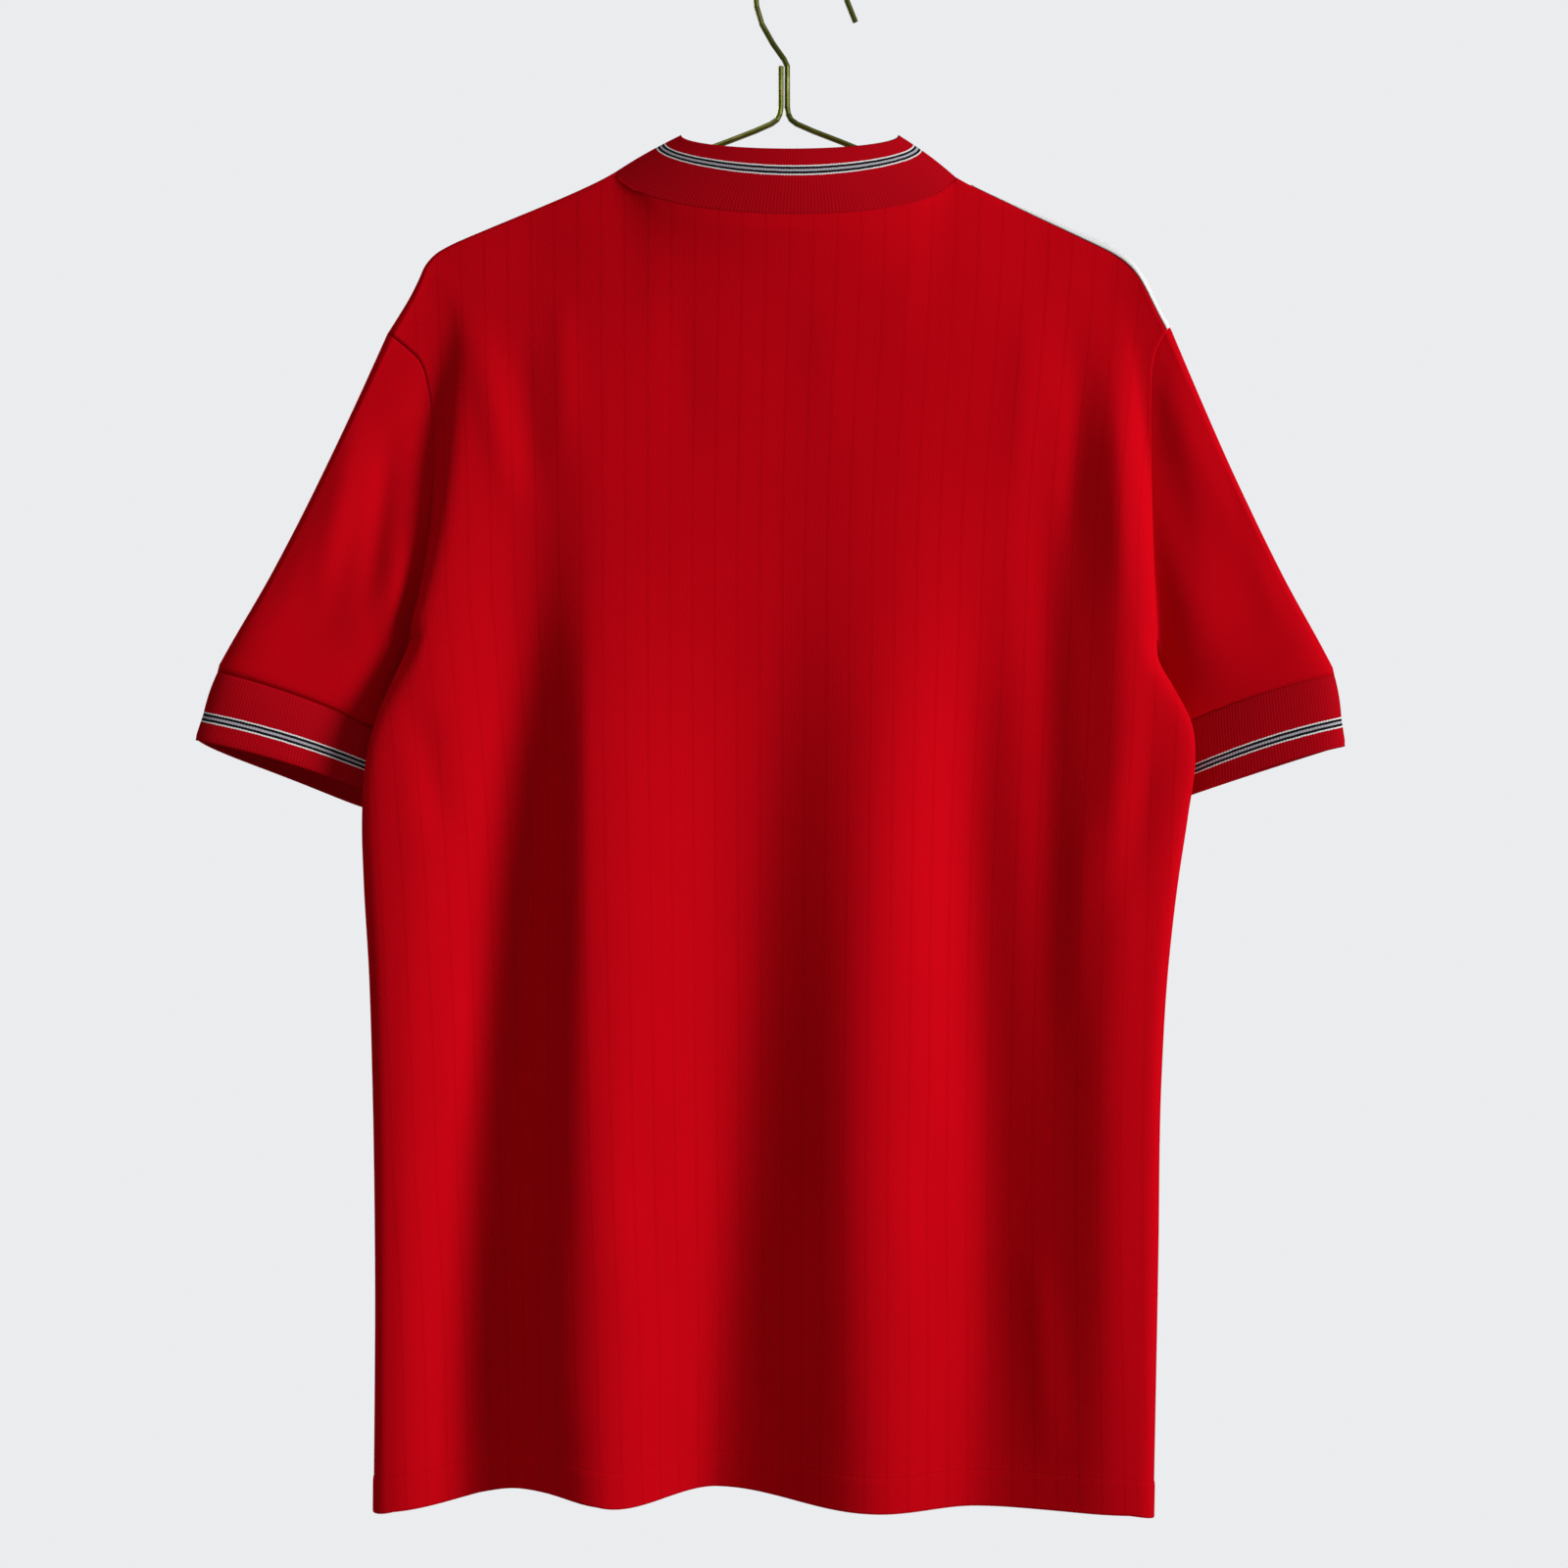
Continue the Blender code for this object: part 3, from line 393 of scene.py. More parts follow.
def neck_loop(x, level, y, drop, angle, back):
    """Half a loop round the neck: over the shoulder at each end, and y and drop at its middle."""
    rise = np.sin(angle).clip(0)
    depth = y * rise**NECK_SQUARE
    if back:
        return np.stack([x, depth, level + drop * rise], -1)
    return np.stack([x, -depth, level + drop * rise**NECK_SCOOP], -1)


def neckline(angle, back):
    """The neckline seam at an angle from the left neck point (0) to the right one (pi)."""
    x = oval(NECK_LEFT_X, NECK_RIGHT_X, angle)
    level = oval(NECK_LEFT_DROP, NECK_RIGHT_DROP, angle)
    middle = (NECK_LEFT_DROP + NECK_RIGHT_DROP) / 2
    y = BACK_NECK_Y if back else FRONT_NECK_Y
    drop = (BACK_NECK_DROP if back else FRONT_NECK_DROP) - middle
    return neck_loop(x, level, y, drop, angle, back)


def shoulder(side, columns_in):
    """x and drop on a shoulder's ridge, some columns in from the armhole."""
    line = SHOULDERS[side][::-1]
    places = (0, HANGER_END_DISTANCE, line_length(line))
    return along_line(line, np.interp(columns_in, (0, EDGE_COLUMNS, NECK_LEFT), places))


def top_edge(u, back):
    """The panel's top edge, along one shoulder, the neckline and the other shoulder."""
    points = neckline(neck_angle(u), back)
    for side, columns_in in (("left", u), ("right", COLUMNS - u)):
        flat = shoulder(side, np.minimum(columns_in, NECK_LEFT))
        ridge = np.stack([flat[..., 0], np.zeros(np.shape(u)), flat[..., 1]], -1)
        points = np.where((columns_in <= NECK_LEFT)[..., None], ridge, points)
    return points


def inward(u, back):
    """The way into the panel from its top edge: square to a shoulder, and down by the neck."""
    step = 0.4
    on_left, on_right = np.minimum(u, NECK_LEFT - step), np.maximum(u, NECK_RIGHT + step)
    near = np.where(u < COLUMNS / 2, on_left, on_right)
    here = top_edge(near, back)
    ahead = top_edge(np.minimum(near + step, COLUMNS), back) - here
    behind = here - top_edge(np.maximum(near - step, 0), back)
    ahead = np.where((u < COLUMNS)[..., None], ahead, behind)[..., (0, 2)]
    behind = np.where((u > 0)[..., None], behind[..., (0, 2)], ahead)
    run = unit(unit(ahead) + unit(behind))
    square = np.stack([run[..., 1], -run[..., 0]], -1)
    from_side = np.minimum(u, COLUMNS - u)
    by_neck = fade((from_side - NECK_LEFT + NECK_COLUMNS) / NECK_COLUMNS)[..., None]
    return square * (1 - by_neck) + np.array([0.0, 1.0]) * by_neck


def armhole(side, v):
    """x, y and drop of the armhole seam's back half, at grid row v."""
    line = ARMHOLES[side]
    whole = line_length(line)
    top, foot = quarter(v, RIDGE_ROWS), quarter(UNDERARM_ROW - v, UNDERARM_ROW - ARM_ROWS)
    middle = np.clip((v - RIDGE_ROWS) / (ARM_ROWS - RIDGE_ROWS), 0, 1)
    distance = ARMHOLE_ROUND * (1 - np.cos(top)) + middle * (whole - ARMHOLE_ROUND - ARMHOLE_HALF)
    distance = np.where(v > ARM_ROWS, whole - ARMHOLE_HALF * (1 - np.cos(foot)), distance)
    y = ARMHOLE_HALF * np.where(v > ARM_ROWS, np.sin(foot), np.sin(top))
    y = y - ARMHOLE_SINK[side] * fade((v - SINK_FROM_ROW) / 4) * fade((UNDERARM_ROW - v) / 3)
    flat = along_line(line, distance)
    return np.stack([flat[..., 0], y, flat[..., 1]], -1)


def yoke(folds, u, v, back):
    """The panel from its top edge down to the underarm: a patch between its four edges."""
    top = top_edge(u, back)
    from_side = np.minimum(u, COLUMNS - u)
    on_neck = fade(from_side - NECK_LEFT)
    past_hanger = np.clip(1 - from_side / EDGE_COLUMNS, 0, 1)
    by_neck = fade((from_side - NECK_LEFT) / NECK_COLUMNS + 1)
    half = RIDGE_HALF + (ARMHOLE_HALF - RIDGE_HALF) * past_hanger
    half = (half + (NECK_HALF_OPEN - RIDGE_HALF) * by_neck) * (1 - on_neck)
    round_drop = RIDGE_DROP + (ARMHOLE_ROUND - RIDGE_DROP) * past_hanger
    round_drop = round_drop + (NECK_ROUND - round_drop) * on_neck
    turn = quarter(v, RIDGE_ROWS)
    flat_top = top[..., (0, 2)] + inward(u, back) * (round_drop * (1 - np.cos(turn)))[..., None]
    foot_drop = np.full(np.shape(u), float(SIDES[0].drop))
    foot = np.stack([across_body(folds, u, foot_drop), foot_drop], -1)
    down = np.clip((v - RIDGE_ROWS) / (UNDERARM_ROW - RIDGE_ROWS), 0, 1)[..., None]
    flat = flat_top * (1 - down) + foot * down
    edge_y = np.zeros(np.shape(u))
    for side, columns_in, edge in (("left", u, 0), ("right", COLUMNS - u, -1)):
        seam = armhole(side, v)
        plain = flat[:, edge][:, None]
        pull = 1 - fade((columns_in - EDGE_COLUMNS) / (NECK_LEFT - 1 - EDGE_COLUMNS))
        flat = flat + (seam[..., (0, 2)] - plain) * pull[..., None]
        edge_y = np.where(columns_in < COLUMNS / 2, seam[..., 1], edge_y)
    down_from_top = np.linalg.norm(flat - top[..., (0, 2)], axis=-1)
    hung = fold_depth(folds, flat[..., 0], flat[..., 1])
    start = np.abs(top[..., 1]) + half
    y = np.abs(top[..., 1]) + half * np.sin(turn)
    hang_free = HANG_FREE * (1 - HANG_SOONER_BY_NECK * by_neck)
    y = y + (hung - start) * ease((down_from_top - round_drop) / hang_free)
    x = flat[..., 0]
    lapped = fade((v - LAP_FROM_ROW) / 3) * fade((UNDERARM_ROW - v) / 5)
    for side, edge, columns_in in (("left", 0, u), ("right", -1, COLUMNS - u)):
        on_cap = fade((CAP_ENDS[side] - v) / 5)
        inner = int(np.argmin(np.abs(columns_in[0] - EDGE_COLUMNS)))
        start_point = flat[:, edge][:, None]
        reach = np.linalg.norm(flat[:, inner][:, None] - start_point, axis=-1)
        t = np.clip(np.linalg.norm(flat - start_point, axis=-1) / reach, 0, 1)
        turned = np.sqrt(1 - (1 - t) ** 2) * (1 - on_cap) + fade(t) * on_cap
        y = np.where(columns_in < EDGE_COLUMNS, edge_y + (y - edge_y) * turned, y)
        outward = 1 if side == "left" else -1
        x = x + outward * ARMHOLE_LAP[side] * lapped * 4 * t * (1 - t) * (columns_in < EDGE_COLUMNS)
    return np.stack([x, y, flat[..., 1]], -1)


def skirt(folds, hem, u, v, back):
    """The panel from the underarm to the hem."""
    top = float(SIDES[0].drop)
    foot = smooth_curve(u, [place[0] for place in hem], [place[1] for place in hem])
    band_row = ROWS - HEM_ROWS
    to_band = np.clip((v - UNDERARM_ROW) / (band_row - UNDERARM_ROW), 0, 1)
    in_band = np.clip((v - band_row) / (ROWS - band_row), 0, 1)
    drop = top + (foot - HEM_BAND - top) * to_band**ROW_SPREAD + HEM_BAND * in_band
    x = across_body(folds, u, drop)
    depth = fold_depth(folds, x, drop)
    edges = side_edges(drop)
    seam_y = edges[..., 2] if back else -edges[..., 2]
    short = np.cos(quarter(np.minimum(u, COLUMNS - u), EDGE_COLUMNS))
    square = 2 + (EDGE_SQUARE - 2) * fade((drop - top) / EDGE_SQUARE_BY) * back
    turn = (1 - short**square) ** (1 / square)
    return np.stack([x, seam_y + (depth - seam_y) * turn, drop], -1)


def panel_grid(folds, hem, back):
    """Outer points of a panel, and the fine columns and rows that they stand on."""
    fine_u = np.linspace(0, COLUMNS, FINE_PER_COLUMN * COLUMNS + 1)
    yoke_rows = np.arange(0, UNDERARM_ROW, FINE_ROW)
    skirt_rows = np.linspace(UNDERARM_ROW, ROWS, FINE_SKIRT_ROWS)
    fine_v = np.concatenate([yoke_rows, skirt_rows])
    u, v = np.meshgrid(fine_u, fine_v)
    upper = yoke(folds, u, np.minimum(v, UNDERARM_ROW), back)
    lower = skirt(folds, hem, u, np.maximum(v, UNDERARM_ROW), back)
    points = np.where((v < UNDERARM_ROW)[..., None], upper, lower)
    if not back:
        points[..., 1] *= -1
    return points, u, v


def relaxed(points, u, v):
    """Let the cloth round off beside the neck points, where the neckline turns to the back."""
    x, y = points[..., 0], points[..., 1]
    from_side = np.minimum(u, COLUMNS - u)
    share = fade((v - RIDGE_ROWS * 0.4) / 4) * fade((UNDERARM_ROW + 3 - v) / 5)
    share = share * fade((from_side - EDGE_COLUMNS) / 3)
    for row in np.flatnonzero(share.max(axis=1) > 0):
        reach = RELAX_REACH * fade(v[row, 0] / 7) + 1.0
        near = np.exp(-(((x[row][:, None] - x[row][None, :]) / reach) ** 2))
        near = near * np.abs(np.gradient(x[row]))[None, :]
        mean = near @ y[row] / near.sum(axis=1)
        y[row] += (mean - y[row]) * share[row]


def softened(points, u, v):
    """Let the cloth find its own soft form just below each neck point."""
    from_point = np.abs(np.minimum(u, COLUMNS - u) - NECK_LEFT)
    free = fade(2 - from_point / 1.6) * fade((11 - v) / 5) * fade(v / 3)
    for _ in range(SOFTENINGS):
        beside = np.roll(points, 1, 1) + np.roll(points, -1, 1)
        above_below = np.roll(points, 1, 0) + np.roll(points, -1, 0)
        points += ((beside + above_below) / 4 - points) * free[..., None]


def steps_both_ways(points, axis, wraps):
    """The unit direction of a grid's lines at each point, the mean of the steps either side."""
    points = np.moveaxis(points, axis, 0)
    ahead = unit(np.roll(points, -1, 0) - points)
    behind = np.roll(ahead, 1, 0)
    if not wraps:
        ahead[-1] = behind[-1]
        behind[0] = ahead[0]
    return np.moveaxis(unit(ahead + behind), 0, axis)


def grid_normals(points, outward, wraps=False):
    """Normals of a grid; outward is 1 or -1, and wraps is for rings."""
    down = steps_both_ways(points, 0, False)
    across = steps_both_ways(points, 1, wraps)
    return outward * unit(np.cross(across, down))


def creased(points, normals, creases, hold):
    """Raise soft ridges and troughs along a grid's normals, as far as hold (0 to 1) lets them."""
    flat = points[..., (0, 2)]
    height = np.zeros(flat.shape[:2])
    for crease in creases:
        start = np.array([crease.x, crease.drop], float)
        run = np.array([crease.x_end, crease.drop_end], float) - start
        along = (flat - start) @ run / (run @ run)
        away = np.linalg.norm(flat - start - along[..., None] * run, axis=-1)
        body = fade(along / 0.35) * fade((1 - along) / 0.45)
        height += crease.depth * body * np.exp(-((away / crease.width) ** 2))
    return points + normals * (height * hold)[..., None]


def cloth_piece(name, outer, outward, maps, thickness, wraps=False):
    """A thin sheet of cloth on a grid of outer points; maps are UV layers in mm."""
    rows, columns = outer.shape[:2]
    spans = columns if wraps else columns - 1
    faces, places = [], []
    for row in range(rows - 1):
        for column in range(spans):
            corners = [(row, column), (row, column + 1), (row + 1, column + 1), (row + 1, column)]
            if outward > 0:
                corners.reverse()
            faces.append([r * columns + c % columns for r, c in corners])
            places += corners
    mesh = bpy.data.meshes.new(name)
    mesh.from_pydata(in_metres(outer).reshape(-1, 3).tolist(), [], faces)
    at = np.array(places)
    for layer_name, values in maps.items():
        layer = mesh.uv_layers.new(name=layer_name)
        layer.data.foreach_set("uv", (values[at[:, 0], at[:, 1]] / 1000).astype(np.float32).ravel())
    mesh.shade_smooth()
    piece = bpy.data.objects.new(name, mesh)
    bpy.context.collection.objects.link(piece)
    bpy.ops.object.select_all(action="DESELECT")
    piece.select_set(True)
    bpy.context.view_layer.objects.active = piece
    wall = piece.modifiers.new("wall", "SOLIDIFY")
    wall.thickness = thickness / 1000
    wall.offset = -1
    wall.use_even_offset = False
    bpy.ops.object.modifier_apply(modifier="wall")
    return piece


def panel_maps(points, v):
    """A panel's UV layers: across and down its cloth, and off its sewn edges and its hem."""
    flat = points.copy()
    flat[..., 2] = 0
    across = run_along(flat, 1)
    middle = [np.interp(0, -row_x, row_a) for row_x, row_a in zip(points[..., 0], across)]
    hung = fade((v - RIDGE_ROWS) / (UNDERARM_ROW - RIDGE_ROWS))
    across = (across - np.array(middle)[:, None]) * hung - points[..., 0] * (1 - hung)
    drawn = 1 + STRIPE_DRAW * fade((points[..., 2] - NECK_RIGHT_DROP) / STRIPE_DRAWN_BY)
    across = (across + STRIPE_STEADY_X) * drawn - STRIPE_STEADY_X
    down = run_along(points, 0)
    width = run_along(points, 1)
    off_side = np.minimum(width, width[:, -1:] - width)
    off_seam = np.minimum(off_side, down)
    off_hem = down[-1:] - down
    return {
        "cloth": np.stack([across, points[..., 2]], -1),
        "edges": np.stack([off_seam, off_hem], -1),
    }


class Dye:
    """A socket of a material's nodes. Arithmetic on it adds Math nodes."""

    def __init__(self, tree, socket=None):
        self.tree = tree
        self.socket = socket

    def node(self, kind, settings, sockets, output=0):
        """Any other node: its settings are set first, and then its sockets' values or links."""
        node = self.tree.nodes.new(kind)
        for name, value in settings.items():
            setattr(node, name, value)
        for name, value in sockets.items():
            if isinstance(value, Dye):
                self.tree.links.new(value.socket, node.inputs[name])
            else:
                node.inputs[name].default_value = value
        return Dye(self.tree, node.outputs[output])

    def maths(self, operation, *values):
        return self.node("ShaderNodeMath", {"operation": operation}, dict(enumerate(values)))

    def limited(self):
        settings = {"operation": "ADD", "use_clamp": True}
        return self.node("ShaderNodeMath", settings, {0: self, 1: 0.0})

    def __add__(self, other):
        return self.maths("ADD", self, other)

    __radd__ = __add__

    def __sub__(self, other):
        return self.maths("SUBTRACT", self, other)

    def __rsub__(self, other):
        return self.maths("SUBTRACT", other, self)

    def __mul__(self, other):
        return self.maths("MULTIPLY", self, other)

    __rmul__ = __mul__

    def __truediv__(self, other):
        return self.maths("DIVIDE", self, other)

    def __rtruediv__(self, other):
        return self.maths("DIVIDE", other, self)

    def __mod__(self, other):
        return self.maths("FLOORED_MODULO", self, other)

    def __abs__(self):
        return self.maths("ABSOLUTE", self)


def mixed(share, first, second):
    """A colour between two, by a share of the second."""
    return share.node("ShaderNodeMix", {"data_type": "RGBA"}, {0: share, 6: first, 7: second}, 2)


def new_dye(name, roughness):
    """A new material with its shader's constant sockets set, and the dye to start from."""
    material = bpy.data.materials.new(name)
    material.use_nodes = True
    shader = material.node_tree.nodes["Principled BSDF"]
    shader.inputs["Roughness"].default_value = roughness
    shader.inputs["Specular IOR Level"].default_value = 0.0
    return material, shader, Dye(material.node_tree)


def uv_of(dye, layer):
    """The two distances of a UV layer, in metres."""
    both = dye.node("ShaderNodeUVMap", {"uv_map": layer}, {})
    return tuple(both.node("ShaderNodeSeparateXYZ", {}, {0: both}, i) for i in (0, 1))


def mottle(dye, scale, detail):
    """Slow uneven patches over a piece, about 0.5 at the middle."""
    place = dye.node("ShaderNodeTexCoord", {}, {}, 3)
    return dye.node("ShaderNodeTexNoise", {}, {"Vector": place, "Scale": scale, "Detail": detail})


def line_at(value, place, half_width):
    """1 on a line at a place, and 0 from half its width away."""
    return (1 - abs(value - place) / half_width).limited()


def feed(shader, name, dye):
    """Link a dye to one of the shader's sockets."""
    dye.tree.links.new(dye.socket, shader.inputs[name])


def link_bump(dye, shader, height, distance, strength):
    """Feed the shader's normal from a height between 0 and 1."""
    sockets = {"Height": height, "Distance": distance, "Strength": strength}
    bump = dye.node("ShaderNodeBump", {}, sockets)
    feed(shader, "Normal", bump)


def knit_height(across, down):
    """Fine knit: a column of loops every wale, and a loop every course."""
    wale = abs(across / WALE % 1 - 0.5) * 2
    loop = abs((down / COURSE + wale * 0.5) % 1 - 0.5) * 2
    return wale * 0.6 + loop * 0.4


def knitted(name, striped):
    """The jersey's knitted cloth, with or without its tonal pinstripes."""
    material, shader, dye = new_dye(name, 0.62)
    across, down = uv_of(dye, "cloth")
    off_seam, off_hem = uv_of(dye, "edges")
    patches = mottle(dye, 18.0, 3.0)
    colour = mixed(patches * 0.7, CLOTH_RED, CLOTH_DEEP)
    height = knit_height(across, down) * 0.35
    if striped:
        off_line = abs((across + STRIPE_SHIFT) / STRIPE_PITCH % 1 - 0.5) * STRIPE_PITCH
        line = (1.4 - off_line / (STRIPE_WIDTH / 2)).limited()
        wear = (1.7 - mottle(dye, 9.0, 3.0) * 1.5).limited()
        shown = line * wear
        colour = mixed(shown * 0.2, colour, STRIPE_RED)
        height = height - line * 0.12
        stitches = line_at(off_hem, HEM_BAND / 1000, STITCH_HALF_WIDTH)
        each = line_at(across / STITCH % 1, 0.5, 0.42)
        height = height - stitches * 0.9 + stitches * each * 0.7
        colour = mixed(stitches * each * 0.25, colour, STRIPE_RED)
    seam = (1 - off_seam / SEAM_DIP).limited()
    height = height - seam * seam * 0.05
    link_bump(dye, shader, height, 0.00045, 0.55)
    feed(shader, "Base Color", colour)
    feed(shader, "Roughness", 0.58 + patches * 0.10)
    shader.inputs["Sheen Weight"].default_value = 0.05
    shader.inputs["Sheen Roughness"].default_value = 0.5
    shader.inputs["Sheen Tint"].default_value = (1.0, 0.03, 0.04, 1.0)
    return material


def finished_panel(name, folds, hem, creases, back):
    """A panel as its fine grid, its outward normals and its piece."""
    points, u, v = panel_grid(folds, hem, back)
    relaxed(points, u, v)
    softened(points, u, v)
    outward = 1 if back else -1
    normals = grid_normals(points, outward)
    from_side = np.minimum(u, COLUMNS - u)
    hold = fade(from_side / 3) * fade(v / 6)
    top_row, below_arm = v == 0, v >= UNDERARM_ROW
    on_shoulder = top_row & (from_side <= NECK_LEFT)
    on_side = below_arm & (from_side == 0)
    points[..., 1] += SEAM_GAP / 2 * outward * (on_shoulder | on_side)
    points = creased(points, normals, creases, hold)
    maps = panel_maps(points, v)
    off_hem = maps["edges"][..., 1]
    proud = HEM_PROUD * fade((HEM_BAND - off_hem) / HEM_STEP) * fade(from_side / 0.6)
    points = points + normals * proud[..., None]
    piece = cloth_piece(name, points, outward, maps, CLOTH)
    return piece, points, grid_normals(points, outward), u, v


def cut_size(points, wraps=False, widest_from=0):
    """A piece's cut: its widest row from a row on, its longest column and its area, in metres."""
    closed = np.concatenate([points, points[:, :1]], axis=1) if wraps else points
    width = run_along(closed, 1)[widest_from:, -1].max() / 1000
    length = run_along(closed, 0)[-1].max() / 1000
    side = np.diff(closed, axis=1)[:-1]
    fall = np.diff(closed, axis=0)[:, :-1]
    area = np.linalg.norm(np.cross(side, fall), axis=-1).sum() / 1e6
    return (float(round(width, 4)), float(round(length, 4))), float(round(area, 5))


pinstriped = knitted("pinstriped_knit", True)
back_cloth, back_points, back_normals, panel_u, panel_v = finished_panel(
    "back_cloth", BACK_FOLDS, BACK_HEM, BACK_CREASES, True
)
UNDERARM_LINE = int(np.argmax(panel_v[:, 0] >= UNDERARM_ROW))
back_cloth.data.materials.append(pinstriped)
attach(back_cloth, "root")
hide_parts("back_panel")

# Front panel: the same knitted cloth, with a deeper round neckline, sewn to the back along the
# shoulders and the sides. It hangs in folds of its own.
FRONT_FOLDS = (
    Fold(4, (184, 174, 184, 203, 208), (14, 13, 15, 26, 31)),
    Fold(7, (138, 132, 126, 128, 134), (13, 12, 10, 8, 7)),
    Fold(10, (78, 76, 70, 62, 60), (17, 19, 25, 34, 40)),
    Fold(16, (10, 8, 3, -8, -14), (16, 14, 12, 9, 7)),
    Fold(20, (-60, -62, -70, -74, -77), (17, 19, 24, 32, 36)),
    Fold(24, (-130, -128, -130, -138, -143), (13, 11, 10, 9, 10)),
    Fold(28, (-184, -172, -178, -189, -187), (14, 13, 15, 27, 32)),
)
FRONT_HEM = (
    (0, 882.0), (4, 877.0), (7, 872.5), (10, 879.5), (16, 872.8), (20, 878.0), (24, 873.5),
    (28, 878.0), (32, 884.5),
)
FRONT_CREASES = (
    Crease(176, 205, 150, 330, 9, 1.5),
    Crease(152, 215, 132, 340, 10, -1.7),
    Crease(192, 300, 182, 400, 7, -1.4),
    Crease(118, 190, 104, 310, 9, 1.2),
    Crease(-168, 210, -150, 345, 9, -1.6),
    Crease(-186, 240, -182, 385, 7, 1.5),
    Crease(-128, 195, -112, 320, 9, 1.1),
    Crease(86, 225, 60, 380, 12, -1.2),
    Crease(-80, 230, -62, 400, 13, 1.1),
    Crease(204, 430, 182, 540, 9, -1.9),
    Crease(-204, 445, -180, 570, 10, -2.0),
    Crease(30, 560, 20, 740, 12, 1.2),
    Crease(98, 640, 92, 820, 11, -1.3),
    Crease(-42, 600, -36, 790, 12, -1.1),
    Crease(-110, 690, -104, 860, 10, 1.4),
    Crease(168, 720, 160, 860, 10, 1.5),
)
front_cloth, front_points, front_normals, _, _ = finished_panel(
    "front_cloth", FRONT_FOLDS, FRONT_HEM, FRONT_CREASES, False
)
front_cloth.data.materials.append(pinstriped)
flat, area = cut_size(front_points, False, UNDERARM_LINE)
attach(front_cloth, "root")
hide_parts("front_panel")

# Sleeves: plain knit, set in round each armhole. They hang flattened and a little forward of
# the body, with a soft fold down the outer edge and the inner fold tucked by the side.
Ring = namedtuple(
    "Ring", "outer_x outer_drop outer_y inner_x inner_drop inner_y half_depth front_drop"
)
CUFF_RINGS = {
    "left": (
        Ring(320.8, 411.1, -3.0, 222.0, 447.8, -20.0, 19.0, 3.0),
        Ring(333.6, 449.4, -3.0, 223.1, 484.4, -23.0, 21.0, 19.0),
    ),
    "right": (
        Ring(-311.6, 412.6, -3.0, -217.6, 443.9, -20.0, 19.0, 0.0),
        Ring(-318.0, 453.0, -3.0, -218.7, 486.6, -23.0, 21.0, 0.0),
    ),
}
RING_TURN = 24.0
OVAL_SQUARE = 0.6
LIP_OUTER = 0.31
RING_BOW = 3.6
SEAM_SWELL = 1.1
SLEEVE_SAG = 3.5
SLEEVE_PUFF = 5.0
SLEEVE_TUCK = 7.0
SLEEVE_CLEAR = 2.2
PRESSED = 1.5
EARLY_PUFF = {"left": 1.0, "right": 1.3}
EARLY_CLEAR = 0.6
RING_STEPS = 8
SLEEVE_STATIONS = 61
SEAM_TUCK = 3.2
SEAM_RING = 3
SleeveFold = namedtuple("SleeveFold", "around width depth")
SLEEVE_FOLDS = (SleeveFold(0.34, 0.16, -3.5), SleeveFold(0.62, 0.16, 3.0))
SLEEVE_CREASES = {
    ("left", True): (
        Crease(236, 250, 268, 400, 8, 1.6),
        Crease(220, 262, 238, 400, 7, -1.8),
        Crease(262, 290, 300, 400, 9, -1.1),
        Crease(214, 330, 226, 420, 6, 1.2),
    ),
    ("left", False): (
        Crease(232, 255, 262, 395, 8, -1.6),
        Crease(216, 290, 234, 410, 7, 1.5),
        Crease(258, 280, 296, 395, 9, 1.2),
    ),
    ("right", True): (
        Crease(-214, 225, -247, 392, 10, 2.0),
        Crease(-242, 255, -272, 400, 9, -1.4),
        Crease(-262, 310, -292, 400, 9, -1.2),
    ),
    ("right", False): (
        Crease(-230, 260, -256, 400, 8, -1.5),
        Crease(-218, 300, -232, 410, 7, 1.4),
        Crease(-252, 285, -284, 395, 9, 1.1),
    ),
}


def ring_angle(v):
    """The angle round half a sleeve's ring for the armhole's row v, from outer to inner fold."""
    turns = np.radians((0, RING_TURN, 180 - RING_TURN, 180))
    return np.interp(v, (0, RIDGE_ROWS, ARM_ROWS, UNDERARM_ROW), turns)


def cuff_ring(ring, angle):
    """A flattened oval from the outer fold over the back (0 to pi) and the front (pi to 2 pi)."""
    outer = np.array([ring.outer_x, ring.outer_y, ring.outer_drop])
    inner = np.array([ring.inner_x, ring.inner_y, ring.inner_drop])
    points = (outer + inner) / 2 + (outer - inner) / 2 * np.cos(angle)[..., None]
    rise = np.sign(np.sin(angle)) * np.abs(np.sin(angle)) ** OVAL_SQUARE
    points[..., 1] += ring.half_depth * rise
    inner_share = (1 - np.cos(angle)) / 2
    lip = LIP_OUTER + (1 - LIP_OUTER) * inner_share**3
    points[..., 2] += ring.front_drop * np.clip(-np.sin(angle), 0, 1) * lip
    points[..., 2] -= RING_BOW * np.clip(np.sin(angle), 0, 1) ** 2
    return points


def round_ring():
    """Armhole rows round a whole ring, and whether each is in its back half."""
    half_rows = np.linspace(0, UNDERARM_ROW, RING_STEPS * UNDERARM_ROW + 1)
    rows = np.concatenate([half_rows, half_rows[-2:0:-1]])
    return rows, np.arange(len(rows)) < len(half_rows)


